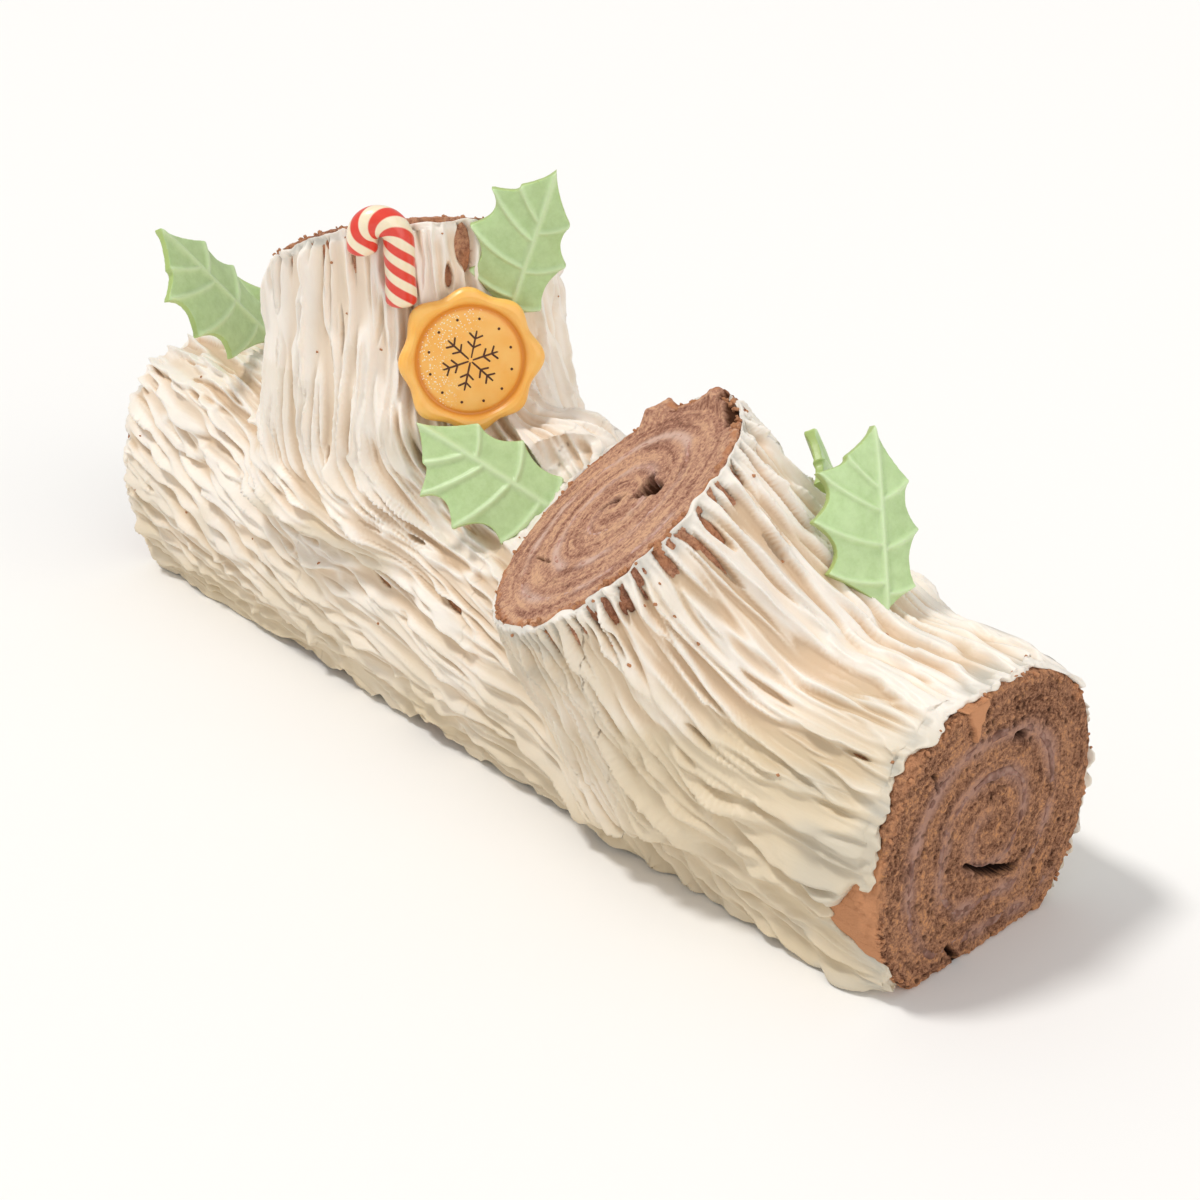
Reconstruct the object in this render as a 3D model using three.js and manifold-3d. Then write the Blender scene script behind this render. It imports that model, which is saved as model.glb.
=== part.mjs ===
// Yule log cake: a rolled chocolate sponge laid on its side, with two pieces of the same roll set on
// it as sawn-off branches, spread with buttercream that is combed to look like bark.
// Millimetres, +Z up. +X runs along the log to its near cut end and +Y to its back.
// The origin lies on the flat underside of the sponge, below the middle of the log.

import * as THREE from "three";
import { mergeVertices } from "three/addons/utils/BufferGeometryUtils.js";
import Module from "manifold-3d";

const wasm = await Module();
wasm.setup();

// ---- Driving dimensions ----

// The log's section is a rounded square that has sagged flat where it rests.
const log = {
  nearEnd: 194,
  farEnd: -191,
  halfWidth: 44.5,
  centreHeight: 38.5,
  above: 43.5,
  below: 46,
  squareness: 2.35,
};

// A branch is a round piece of roll: the centre and normal of its sawn face, its own axis, and how far
// it reaches down that axis, with its square end wholly inside the log.
const rearBranch = {
  radius: 46,
  faceCentre: [-55, 0, 146],
  faceNormal: [-0.384, 0.231, 0.894],
  axis: [0, 0, 1],
  reach: 80,
};
const frontBranch = {
  radius: 44.8,
  faceCentre: [80, -32.3, 104.9],
  faceNormal: [-0.416, -0.502, 0.758],
  axis: [-0.361, -0.401, 0.842],
  reach: 72,
};

// The sheet is spread with filling and rolled: the filling's spiral starts near the middle of the
// section and ends below the outer layer. Start and end are shares of the section's radius.
const spiral = { turns: 2.6, thickness: 2.2, start: 0.12, end: 0.85, pointsPerTurn: 18 };

// Buttercream: grooves and ridges of the combed bark, the skirt round the foot, the flare where a branch
// meets the log, and the heap and slant of the log's far end.
const cream = {
  groove: 2.4,
  ridge: 5.6,
  grooveSwell: 0.9,
  ridgeSwell: 1.9,
  sway: 0.4,
  raggedEdge: 1.4,
  logRidges: 37,
  logStations: 25,
  branchRidges: 23,
  branchStations: 7,
  skirt: 3.2,
  skirtHeight: 16,
  boardGap: 0.6,
  flare: 22,
  root: 6,
  heap: 13,
  farSlant: 7,
};

// Holly leaf mould: half outline points as [across, along] from the base, tip last, and its thickness.
const holly = {
  length: 50,
  thickness: 2.8,
  left: [[-16, 11], [-20, 25], [-17, 38], [-9, 42]],
  right: [[9.5, 6.5], [12.5, 22], [9.5, 35]],
  bite: 0.24,
  cup: 2.2,
  wave: 0.9,
  rib: 0.9,
};

// Where each leaf stands: base point, heading of its face, how far the face tips up, and its roll.
const leafPlaces = {
  holly_leaf_right: { base: [151.4, 2.5, 86.5], heading: -17, lean: 25, roll: -7, size: 1.02 },
  holly_leaf_right_back: { base: [118, 30, 84], heading: 48, lean: 22, roll: 0, size: 0.85 },
  holly_leaf_centre: { base: [38.6, -14.6, 83.8], heading: -42, lean: 32, roll: 57.2, size: 1.1 },
  holly_leaf_top: { base: [-0.3, -4.6, 136.6], heading: -42, lean: -5, roll: -19, size: 1 },
  holly_leaf_left: { base: [-137.5, -7, 97.5], heading: 26, lean: 24, roll: 32, size: 1.24 },
  holly_leaf_left_back: { base: [-142, 9, 84], heading: -42, lean: 10, roll: 35, size: 0.82 },
};

// Moulded seal: a disc with a rounded, lobed rim round a sunken face.
const seal = {
  radius: 22,
  faceRadius: 17,
  thickness: 5,
  faceDepth: 1.6,
  lobes: 8,
  lobeHeight: 1.1,
  centre: [-1.8, -18.7, 126],
  heading: -30,
  lean: 9,
  dabRadius: 14,
  dabDepth: 15,
};

// Candy cane: stem with a half-round hook, pressed into the cream on the rear branch.
const cane = {
  radius: 4.7,
  stem: 20.9,
  hookRadius: 5.6,
  hookEnd: 5,
  foot: [-14.6, -34.2, 142.9],
  heading: -46,
};

const clearance = 0.3; // between touching pieces

// ---- Small helpers ----

const vec = (p) => new THREE.Vector3(...p);
const signedPower = (x, e) => Math.sign(x) * Math.abs(x) ** e;
const smoothStep = (x, a, b) => THREE.MathUtils.smoothstep(x, a, b);

// Smooth wandering value between -1 and 1 for ridge number i at distance s (mm).
function wander(i, s) {
  const slow = Math.sin(2.4 * i + s / 31);
  const middle = Math.sin(5.3 * i - s / 17);
  const quick = Math.sin(1.1 * i + s / 9);
  return 0.5 * slow + 0.3 * middle + 0.2 * quick;
}

// A closed mesh's merged geometry becomes a solid that can be joined and cut.
function toSolid(geometry) {
  const bare = geometry.clone();
  bare.deleteAttribute("normal");
  bare.deleteAttribute("uv");
  const merged = mergeVertices(bare, 1e-4);
  return new wasm.Manifold(
    new wasm.Mesh({
      numProp: 3,
      vertProperties: new Float32Array(merged.attributes.position.array),
      triVerts: new Uint32Array(merged.index.array),
    }),
  );
}

// The largest body of a solid, as a geometry.
function toGeometry(solid) {
  const bodies = solid.decompose().sort((a, b) => b.volume() - a.volume());
  const mesh = bodies[0].getMesh();
  const geometry = new THREE.BufferGeometry();
  geometry.setAttribute("position", new THREE.BufferAttribute(new Float32Array(mesh.vertProperties), 3));
  geometry.setIndex(new THREE.BufferAttribute(new Uint32Array(mesh.triVerts), 1));
  geometry.computeVertexNormals();
  return geometry;
}

// Joins rings of points into a closed tube, each end fanned to the middle of its ring.
function tubeSolid(rings) {
  const around = rings[0].length;
  const points = rings.flat();
  const index = [];
  for (let i = 0; i < rings.length - 1; i++) {
    for (let j = 0; j < around; j++) {
      const a = i * around + j;
      const b = i * around + ((j + 1) % around);
      index.push(a, b, b + around, a, b + around, a + around);
    }
  }
  for (const [ring, flip] of [[0, true], [rings.length - 1, false]]) {
    const middle = rings[ring].reduce((sum, p) => sum.add(p), new THREE.Vector3()).divideScalar(around);
    points.push(middle);
    for (let j = 0; j < around; j++) {
      const a = ring * around + j;
      const b = ring * around + ((j + 1) % around);
      index.push(...(flip ? [b, a, points.length - 1] : [a, b, points.length - 1]));
    }
  }
  const geometry = new THREE.BufferGeometry().setFromPoints(points);
  geometry.setIndex(index);
  return toSolid(geometry);
}

// Turns and places a shape's plane: its x, y and depth directions become across, up and outward.
function basis(across, up, outward, at) {
  return new THREE.Matrix4().makeBasis(across, up, outward).setPosition(at);
}

// The standing frame that leaves, seal and cane share: outward is the heading, tipped up by lean.
function facing({ heading, lean = 0, roll = 0 }, at) {
  const [h, l, r] = [heading, lean, roll].map(THREE.MathUtils.degToRad);
  const outward = new THREE.Vector3(Math.cos(l) * Math.cos(h), Math.cos(l) * Math.sin(h), Math.sin(l));
  const upright = new THREE.Vector3(-Math.sin(l) * Math.cos(h), -Math.sin(l) * Math.sin(h), Math.cos(l));
  const side = upright.clone().cross(outward);
  const up = upright.clone().multiplyScalar(Math.cos(r)).addScaledVector(side, -Math.sin(r));
  const across = side.clone().multiplyScalar(Math.cos(r)).addScaledVector(upright, Math.sin(r));
  return basis(across, up, outward, vec(at));
}

// ---- Roll sections and their spirals ----

// Point on the log's section at angle t, grown by lift; the part below the underside is cut flat.
function logPoint(t, lift = 0, share = 1) {
  const e = 2 / log.squareness;
  const half = Math.sin(t) > 0 ? log.above : log.below;
  const y = share * (log.halfWidth + lift) * signedPower(Math.cos(t), e);
  const z = log.centreHeight + share * (half + lift) * signedPower(Math.sin(t), e);
  return new THREE.Vector2(y, Math.max(z, -Math.min(lift, clearance) + log.centreHeight * (1 - share) * 0.9));
}

// Point on a branch's section: nearly round, as the roll keeps its shape standing up.
function branchPoint(branch) {
  return (t, lift = 0, share = 1) => {
    const r = share * (branch.radius + lift) * (1 + 0.012 * Math.cos(2 * t + 0.7));
    return new THREE.Vector2(r * Math.cos(t), r * Math.sin(t));
  };
}

// Outline of a section, as a list of points.
function outline(sectionPoint, count, lift) {
  return Array.from({ length: count }, (_, i) => sectionPoint((2 * Math.PI * i) / count, lift));
}

// The filling's closed outline: both sides of its centre line, which winds in with the section.
function spiralBand(sectionPoint, thickness, startAngle) {
  const steps = Math.round(spiral.turns * spiral.pointsPerTurn);
  const centreLine = Array.from({ length: steps + 1 }, (_, i) => {
    const share = THREE.MathUtils.lerp(spiral.start, spiral.end, i / steps);
    return sectionPoint(startAngle + (2 * Math.PI * spiral.turns * i) / steps, 0, share);
  });
  const offset = (side) =>
    centreLine.map((p, i) => {
      const before = centreLine[Math.max(i - 1, 0)];
      const after = centreLine[Math.min(i + 1, steps)];
      const along = after.clone().sub(before).normalize();
      return new THREE.Vector2(p.x - along.y * side, p.y + along.x * side);
    });
  // The channel in the sponge is longer than the filling by the clearance at both ends.
  const extra = (thickness - spiral.thickness) / 2;
  for (const [end, next] of [[0, 1], [steps, steps - 1]]) {
    const outward = centreLine[end].clone().sub(centreLine[next]).setLength(extra);
    centreLine[end].add(outward);
  }
  return [...offset(thickness / 2), ...offset(-thickness / 2).reverse()];
}

// A flat shape drawn in the plane of a section and pushed out along its axis.
function extrudeSolid(points, hole, depth, matrix) {
  const shape = new THREE.Shape(points);
  if (hole) {
    shape.holes.push(new THREE.Path(hole));
  }
  const geometry = new THREE.ExtrudeGeometry(shape, { depth, bevelEnabled: false, steps: 1 });
  return toSolid(geometry.applyMatrix4(matrix));
}

// ---- Log ----

const logLength = log.nearEnd - log.farEnd;

const logFrame = (start) => basis(vec([0, 1, 0]), vec([0, 0, 1]), vec([1, 0, 0]), vec([start, 0, 0]));

function logBody(points, hole, extraLength = 0) {
  return extrudeSolid(points, hole, logLength + 2 * extraLength, logFrame(log.farEnd - extraLength));
}

const sectionSides = 44;
const logSpiralStart = Math.PI * 0.62;

function logSponge() {
  const channel = spiralBand(logPoint, spiral.thickness + 2 * clearance, logSpiralStart);
  return logBody(outline(logPoint, sectionSides, 0), channel);
}

function logFilling() {
  return logBody(spiralBand(logPoint, spiral.thickness, logSpiralStart));
}

// ---- Branches ----

// Frame with its depth along the branch's axis, centred on the cut face.
function branchFrame(branch, depth) {
  const axis = vec(branch.axis).normalize();
  const across = new THREE.Vector3(0, 1, 0).cross(axis).normalize();
  const up = axis.clone().cross(across);
  return basis(across, up, axis, vec(branch.faceCentre).addScaledVector(axis, -depth));
}

// A large block, its near face through the point and facing against the direction.
function halfSpace(point, direction) {
  const size = 600;
  const block = new THREE.BoxGeometry(size, size, size);
  const toward = direction.clone().normalize();
  block.applyQuaternion(new THREE.Quaternion().setFromUnitVectors(new THREE.Vector3(0, 0, 1), toward));
  block.translate(...point.clone().addScaledVector(toward, size / 2).toArray());
  return toSolid(block);
}

// A length of roll that runs on past the sawn face.
function branchBody(branch, points, hole, gap = 0) {
  const above = 60;
  const below = branch.reach + gap;
  return extrudeSolid(points, hole, below + above, branchFrame(branch, below));
}

const sawCut = (branch) => halfSpace(vec(branch.faceCentre), vec(branch.faceNormal));

function branchSponge(branch, startAngle, logEnvelope) {
  const section = branchPoint(branch);
  const channel = spiralBand(section, spiral.thickness + 2 * clearance, startAngle);
  const body = branchBody(branch, outline(section, sectionSides - 8, 0), channel);
  return body.subtract(sawCut(branch)).subtract(logEnvelope);
}

function branchFilling(branch, startAngle, logEnvelope) {
  const body = branchBody(branch, spiralBand(branchPoint(branch), spiral.thickness, startAngle));
  return body.subtract(sawCut(branch)).subtract(logEnvelope);
}

// ---- Buttercream ----

// Height of the cream over the sponge at ridge line j (crests are even) and distance s along it.
function barkHeight(j, s) {
  const crest = j % 2 === 0;
  const height = crest ? cream.ridge : cream.groove;
  const swell = crest ? cream.ridgeSwell : cream.grooveSwell;
  return height + swell * wander(j, s);
}

function logCoat() {
  const lines = cream.logRidges * 2;
  const rings = Array.from({ length: cream.logStations }, (_, i) => {
    const along = i / (cream.logStations - 1);
    return Array.from({ length: lines }, (_, j) => {
      const s = along * logLength;
      const t = (2 * Math.PI * (j + cream.sway * wander(j >> 1, s * 0.8))) / lines;
      const height = logPoint(t).y;
      const low = 1 - smoothStep(height, 0, cream.skirtHeight);
      const rise = smoothStep(s, -30, 40) * (1 - smoothStep(s, 62, 110));
      const heap = cream.heap * rise * smoothStep(Math.sin(t), 0.3, 0.9);
      const edge = 0.55 + 0.45 * smoothStep(Math.min(s, logLength - s), 0, 26);
      const skirt = low * cream.skirt * (1 + wander(j + 3, s * 1.4));
      const p = logPoint(t, barkHeight(j, s) * edge + skirt + heap);
      const slant = cream.farSlant * (1 - along) ** 6 * (1 - height / log.centreHeight / 2);
      const ragged = cream.raggedEdge * (along - 0.5) * (wander(j, 40) - 0.8);
      return new THREE.Vector3(log.farEnd + s + ragged + slant, p.x, Math.max(p.y, cream.boardGap));
    });
  });
  return tubeSolid(rings);
}

function branchCoat(branch) {
  const lines = cream.branchRidges * 2;
  const section = branchPoint(branch);
  const normal = vec(branch.faceNormal);
  const rings = Array.from({ length: cream.branchStations }, (_, i) => {
    const down = 1 - i / (cream.branchStations - 1);
    return Array.from({ length: lines }, (_, j) => {
      const t = (2 * Math.PI * (j + cream.sway * wander(j >> 1, 60 * down))) / lines;
      const spread = section(t).normalize();
      const flare = cream.flare * down ** 2.5 * spread.x ** 2;
      const p = section(t, barkHeight(j, 90 * down) * (0.6 + 0.4 * smoothStep(down, 0, 0.2)) + flare);
      const point = new THREE.Vector3(p.x, p.y, 0).applyMatrix4(branchFrame(branch, 0));
      const axis = vec(branch.axis).normalize();
      const slope = point.clone().sub(vec(branch.faceCentre)).dot(normal) / axis.dot(normal);
      const top = -slope + cream.raggedEdge * (wander(j, 9) - 0.6);
      const bottom = -branch.reach - cream.root;
      return point.addScaledVector(axis, THREE.MathUtils.lerp(top, bottom, down));
    });
  });
  return tubeSolid(rings);
}

function icing(seats) {
  const branches = [rearBranch, frontBranch];
  let coat = logCoat();
  for (const branch of branches) {
    coat = coat.add(branchCoat(branch));
  }
  coat = coat.add(sealDab());
  coat = coat.subtract(logBody(outline(logPoint, sectionSides, clearance), null, 20));
  for (const branch of branches) {
    const round = outline(branchPoint(branch), sectionSides - 8, clearance);
    coat = coat.subtract(branchBody(branch, round, null, clearance));
  }
  for (const seat of seats) {
    coat = coat.subtract(seat);
  }
  return coat;
}

// ---- Holly leaves ----

// One side's edge from base to tip: pointed spines with a round bite between each two.
function leafEdge(spines, counts) {
  const stops = [[0, 0], ...spines, [0, holly.length]].map(([u, v]) => new THREE.Vector2(u, v));
  const edge = [stops[0]];
  for (let k = 0; k < stops.length - 1; k++) {
    const middle = stops[k].clone().lerp(stops[k + 1], 0.5);
    const bite = new THREE.Vector2(middle.x * (1 - 2 * holly.bite), middle.y);
    const arc = new THREE.QuadraticBezierCurve(stops[k], bite, stops[k + 1]);
    edge.push(...arc.getPoints(counts[k]).slice(1));
  }
  return edge;
}

function leafSolid(grow = 0) {
  const left = leafEdge(holly.left, [3, 3, 3, 3, 3]);
  const right = leafEdge(holly.right, [4, 4, 4, 3]);
  const rows = left.length;
  const scale = 1 + (2.6 * grow) / holly.length;
  const columns = [-1, -0.5, 0, 0.5, 1];
  const points = [];
  const face = (row, column, side) => {
    const rib = (left[row].y + right[row].y) / 2;
    const along = rib * (0.86 + (0.14 * rib) / holly.length);
    const edge = columns[column] < 0 ? left[row] : right[row];
    const share = Math.abs(columns[column]);
    const u = edge.x * share;
    const v = THREE.MathUtils.lerp(along, edge.y, share);
    const bend = (-holly.cup * u * u) / 400 + (holly.wave * Math.sin(v / 4.5) * u) / 16;
    const ridge = side > 0 && share === 0 && row > 0 && row < rows - 1 ? holly.rib : 0;
    const centre = holly.length / 2;
    const w = bend + side * (holly.thickness / 2 + grow) + ridge;
    return new THREE.Vector3(u * scale, centre + (v - centre) * scale, w);
  };
  const id = (row, column, side) => {
    const isEnd = row === 0 || row === rows - 1;
    return ((side > 0 ? 0 : 1) * rows + row) * columns.length + (isEnd ? 2 : column);
  };
  for (const side of [1, -1]) {
    for (let row = 0; row < rows; row++) {
      for (let column = 0; column < columns.length; column++) {
        points.push(face(row, column, side));
      }
    }
  }
  const index = [];
  const triangle = (a, b, c) => {
    if (a !== b && b !== c && a !== c) {
      index.push(a, b, c);
    }
  };
  const last = columns.length - 1;
  for (let row = 0; row < rows - 1; row++) {
    for (let column = 0; column < last; column++) {
      const corners = (side) => [
        id(row, column, side),
        id(row, column + 1, side),
        id(row + 1, column + 1, side),
        id(row + 1, column, side),
      ];
      const [a, b, c, d] = corners(1);
      triangle(a, b, c);
      triangle(a, c, d);
      const [e, f, g, h] = corners(-1);
      triangle(e, g, f);
      triangle(e, h, g);
    }
    for (const [column, turn] of [[0, 1], [last, -1]]) {
      const wall = [id(row, column, 1), id(row + 1, column, 1), id(row + 1, column, -1), id(row, column, -1)];
      const [a, b, c, d] = turn > 0 ? wall : [...wall].reverse();
      triangle(a, b, c);
      triangle(a, c, d);
    }
  }
  const geometry = new THREE.BufferGeometry().setFromPoints(points);
  geometry.setIndex(index);
  return geometry;
}

function leaf(place, grow = 0) {
  const geometry = leafSolid(grow);
  geometry.scale(place.size, place.size, 1);
  return toSolid(geometry.applyMatrix4(facing(place, place.base)));
}

// ---- Seal ----

function sealPlaque() {
  const { radius, faceRadius, thickness, faceDepth } = seal;
  const profile = [
    [0, 0],
    [radius * 0.93, 0],
    [radius, thickness * 0.35],
    [radius * 0.98, thickness * 0.75],
    [radius * 0.9, thickness],
    [(radius + faceRadius) / 2, thickness * 0.97],
    [faceRadius, thickness - faceDepth],
    [0, thickness - faceDepth],
  ].map(([r, h]) => new THREE.Vector2(r, h));
  const geometry = new THREE.LatheGeometry(profile, seal.lobes * 4);
  geometry.rotateX(Math.PI / 2);
  const position = geometry.attributes.position;
  for (let i = 0; i < position.count; i++) {
    const p = new THREE.Vector3().fromBufferAttribute(position, i);
    const rim = smoothStep(Math.hypot(p.x, p.y), faceRadius, radius);
    const lobe = 1 + (rim * seal.lobeHeight * Math.cos(seal.lobes * Math.atan2(p.y, p.x))) / radius;
    position.setXYZ(i, p.x * lobe, p.y * lobe, p.z);
  }
  return toSolid(geometry.applyMatrix4(facing(seal, seal.centre)));
}

function sealSeat() {
  const depth = 30;
  const seat = new THREE.CylinderGeometry(1, 1, depth, seal.lobes * 4);
  const radius = seal.radius + seal.lobeHeight + clearance;
  seat.scale(radius, 1, radius);
  seat.rotateX(Math.PI / 2);
  seat.translate(0, 0, depth / 2 - clearance);
  return toSolid(seat.applyMatrix4(facing(seal, seal.centre)));
}

// Dab of cream that holds the seal against the branch.
function sealDab() {
  const dab = new THREE.CylinderGeometry(seal.dabRadius, seal.dabRadius + 6, seal.dabDepth, 16);
  dab.rotateX(Math.PI / 2);
  dab.translate(0, 0, -seal.dabDepth / 2);
  return toSolid(dab.applyMatrix4(facing(seal, seal.centre)));
}

// ---- Candy cane ----

function canePath() {
  const path = new THREE.CurvePath();
  const top = new THREE.Vector3(0, cane.stem, 0);
  path.add(new THREE.LineCurve3(new THREE.Vector3(0, 0, 0), top));
  const hook = Array.from({ length: 9 }, (_, i) => {
    const turn = (Math.PI * i) / 8;
    const across = cane.hookRadius * (Math.cos(turn) - 1);
    return new THREE.Vector3(across, cane.stem + cane.hookRadius * Math.sin(turn), 0);
  });
  hook.push(new THREE.Vector3(-2 * cane.hookRadius, cane.stem - cane.hookEnd, 0));
  path.add(new THREE.CatmullRomCurve3(hook));
  return path;
}

function caneSolid(grow = 0) {
  const sides = 10;
  const round = Array.from({ length: sides }, (_, i) => {
    const t = (2 * Math.PI * i) / sides;
    return new THREE.Vector2((cane.radius + grow) * Math.cos(t), (cane.radius + grow) * Math.sin(t));
  });
  const geometry = new THREE.ExtrudeGeometry(new THREE.Shape(round), {
    steps: 20,
    bevelEnabled: false,
    extrudePath: canePath(),
  });
  return toSolid(geometry.applyMatrix4(facing(cane, cane.foot)));
}

// ---- The cake ----

const colours = {
  sponge: ["#7a5240", 0.9],
  filling: ["#b08a76", 0.7],
  cream: ["#ece3d6", 0.5],
  leaf: ["#b8d498", 0.35],
  seal: ["#f2a63c", 0.35],
  cane: ["#e3a08a", 0.3],
};

function named(name, solid, finish) {
  const [color, roughness] = colours[finish];
  const material = new THREE.MeshStandardMaterial({ color, roughness, metalness: 0 });
  const mesh = new THREE.Mesh(toGeometry(solid), material);
  mesh.name = name;
  return mesh;
}

const cake = new THREE.Group();
const logEnvelope = logBody(outline(logPoint, sectionSides, clearance), null, 20);
const branchParts = [["rear_branch", rearBranch, 0.4], ["front_branch", frontBranch, 2.2]];

cake.add(named("log_sponge", logSponge(), "sponge"));
cake.add(named("log_filling", logFilling(), "filling"));
for (const [name, branch, startAngle] of branchParts) {
  cake.add(named(`${name}_sponge`, branchSponge(branch, startAngle, logEnvelope), "sponge"));
  cake.add(named(`${name}_filling`, branchFilling(branch, startAngle, logEnvelope), "filling"));
}

const seats = [sealSeat(), caneSolid(clearance)];
for (const [name, place] of Object.entries(leafPlaces)) {
  cake.add(named(name, leaf(place), "leaf"));
  seats.push(leaf(place, clearance));
}
cake.add(named("seal_plaque", sealPlaque(), "seal"));
cake.add(named("candy_cane", caneSolid(), "cane"));
cake.add(named("icing", icing(seats), "cream"));

export default cake;
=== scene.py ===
# Yule log cake: rolled sponge with two sawn branch pieces, combed buttercream, holly, seal and candy cane.
import itertools
import math

import bpy
import numpy as np
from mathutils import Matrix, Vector, kdtree


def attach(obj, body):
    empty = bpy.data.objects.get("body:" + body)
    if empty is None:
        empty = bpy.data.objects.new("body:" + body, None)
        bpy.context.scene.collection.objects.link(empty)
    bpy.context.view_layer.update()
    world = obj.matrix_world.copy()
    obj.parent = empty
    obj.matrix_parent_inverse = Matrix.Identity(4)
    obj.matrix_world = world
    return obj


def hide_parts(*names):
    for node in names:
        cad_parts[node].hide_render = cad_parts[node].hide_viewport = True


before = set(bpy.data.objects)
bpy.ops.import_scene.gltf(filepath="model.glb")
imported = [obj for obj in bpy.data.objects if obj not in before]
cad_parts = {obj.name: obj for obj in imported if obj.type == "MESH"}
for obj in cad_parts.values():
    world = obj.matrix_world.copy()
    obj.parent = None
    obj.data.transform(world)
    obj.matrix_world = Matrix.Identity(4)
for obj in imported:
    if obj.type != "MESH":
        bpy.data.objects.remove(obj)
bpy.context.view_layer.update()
mm = 0.001
rng = np.random.default_rng(24)


def linearColour(hexCode):
    parts = [int(hexCode[i:i + 2], 16) / 255 for i in (1, 3, 5)]
    return tuple(c / 12.92 if c <= 0.04045 else ((c + 0.055) / 1.055) ** 2.4 for c in parts) + (1.0,)


# Settings are attributes, or socket values by name or number; links are what comes in, by socket.
def addNode(tree, kind, settings=None, links=None):
    node = tree.nodes.new("ShaderNode" + kind)
    for key, value in (settings or {}).items():
        if isinstance(key, int) or key in node.inputs:
            node.inputs[key].default_value = value
        else:
            setattr(node, key, value)
    for socket, source in (links or {}).items():
        tree.links.new(source, node.inputs[socket])
    return node


def deselectAll():
    if bpy.context.object and bpy.context.object.mode != "OBJECT":
        bpy.ops.object.mode_set(mode="OBJECT")
    bpy.ops.object.select_all(action="DESELECT")


def makeActive(piece):
    deselectAll()
    piece.select_set(True)
    bpy.context.view_layer.objects.active = piece


# into edit mode with the whole piece selected
def openAll(piece):
    makeActive(piece)
    bpy.ops.object.mode_set(mode="EDIT")
    bpy.ops.mesh.select_all(action="SELECT")


def closeEdit():
    bpy.ops.object.mode_set(mode="OBJECT")


def turnOut(piece):
    openAll(piece)
    bpy.ops.mesh.normals_make_consistent(inside=False)
    closeEdit()


def copyPiece(piece):
    twin = piece.copy()
    twin.data = piece.data.copy()
    bpy.context.scene.collection.objects.link(twin)
    return twin


def joinPieces(pieces):
    deselectAll()
    for piece in pieces:
        piece.select_set(True)
    bpy.context.view_layer.objects.active = pieces[0]
    bpy.ops.object.join()
    return bpy.context.object


def applyModifier(piece, kind, **settings):
    makeActive(piece)
    modifier = piece.modifiers.new(kind.lower(), kind)
    for key, value in settings.items():
        setattr(modifier, key, value)
    bpy.ops.object.modifier_apply(modifier=modifier.name)


def readPoints(piece):
    points = np.empty(len(piece.data.vertices) * 3, np.float32)
    piece.data.vertices.foreach_get("co", points)
    return points.reshape(-1, 3).astype(float) / mm


def writePoints(piece, points):
    piece.data.vertices.foreach_set("co", (points * mm).astype(np.float32).ravel())
    piece.data.update()


def readNormals(piece):
    normals = np.empty(len(piece.data.vertices) * 3, np.float32)
    piece.data.vertex_normals.foreach_get("vector", normals)
    return normals.reshape(-1, 3).astype(float)


# one number for each point under each name, for the materials to read
def writeValues(piece, **named):
    count = len(piece.data.vertices)
    for name, values in named.items():
        layer = piece.data.attributes.new(name, "FLOAT", "POINT")
        layer.data.foreach_set("value", np.broadcast_to(values, count).astype(np.float32))


def smoothStep(x, low, high):
    t = np.clip((x - low) / (high - low), 0, 1)
    return t * t * (3 - 2 * t)


# a number between -1 and 1 for each lattice cell, hashed from the cell with four large primes
def lattice(cells, seed):
    c = cells.astype(np.int64)
    h = (c[..., 0] * 73856093) ^ (c[..., 1] * 19349663) ^ (c[..., 2] * 83492791) ^ (seed * 2654435761)
    h = (h ^ (h >> 13)) * 1274126177
    h = (h ^ (h >> 16)) & 0xFFFFFF
    return h / 0x7FFFFF - 1.0


# smooth noise between -1 and 1 with lumps of the size given (mm, or three sizes)
def wander(points, size, seed):
    scaled = points / np.asarray(size, float)
    base = np.floor(scaled)
    t = scaled - base
    t = t * t * (3 - 2 * t)
    total = 0
    for dx, dy, dz in itertools.product((0, 1), repeat=3):
        weight = np.abs(1 - dx - t[..., 0]) * np.abs(1 - dy - t[..., 1]) * np.abs(1 - dz - t[..., 2])
        total = total + weight * lattice(base + np.array([dx, dy, dz]), seed)
    return total


# distance to the nearest of the scattered pore centres, as a share of their spacing
def pores(points, size, seed):
    scaled = points / size
    base = np.floor(scaled)
    best = np.full(len(points), 9.0)
    for step in itertools.product((-1, 0, 1), repeat=3):
        cell = base + np.array(step)
        centre = cell + 0.5 + 0.5 * np.stack([lattice(cell, seed + k) for k in (1, 2, 3)], -1)
        best = np.minimum(best, np.linalg.norm(centre - scaled, axis=1))
    return best


def finishPiece(piece, name, material, replaced=()):
    piece.name = name
    piece.data.name = name
    piece.data.materials.clear()
    piece.data.materials.append(material)
    makeActive(piece)
    bpy.ops.object.shade_smooth()
    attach(piece, "root")
    if replaced:
        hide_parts(*replaced)
    print("made", name, len(piece.data.polygons), "faces")


# The roll and its two branch pieces, in mm. A branch's centre and normal are those of its sawn face.
log = dict(nearEnd=194, farEnd=-191, halfWidth=44.5, centreHeight=38.5, above=43.5, below=46, squareness=2.35,
           spiralStart=math.pi * 0.62)
rear = dict(radius=46, centre=(-55, 0, 146), normal=(-0.384, 0.231, 0.894), axis=(0, 0, 1), reach=80,
            spiralStart=0.4)
front = dict(radius=44.8, centre=(80, -32.3, 104.9), normal=(-0.416, -0.502, 0.758),
             axis=(-0.361, -0.401, 0.842), reach=72, spiralStart=2.2)
spiral = dict(turns=2.6, inner=0.12, outer=0.85, points=420)  # inner and outer are shares of the radius
logLength = log["nearEnd"] - log["farEnd"]
fullTurn = 2 * math.pi


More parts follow.
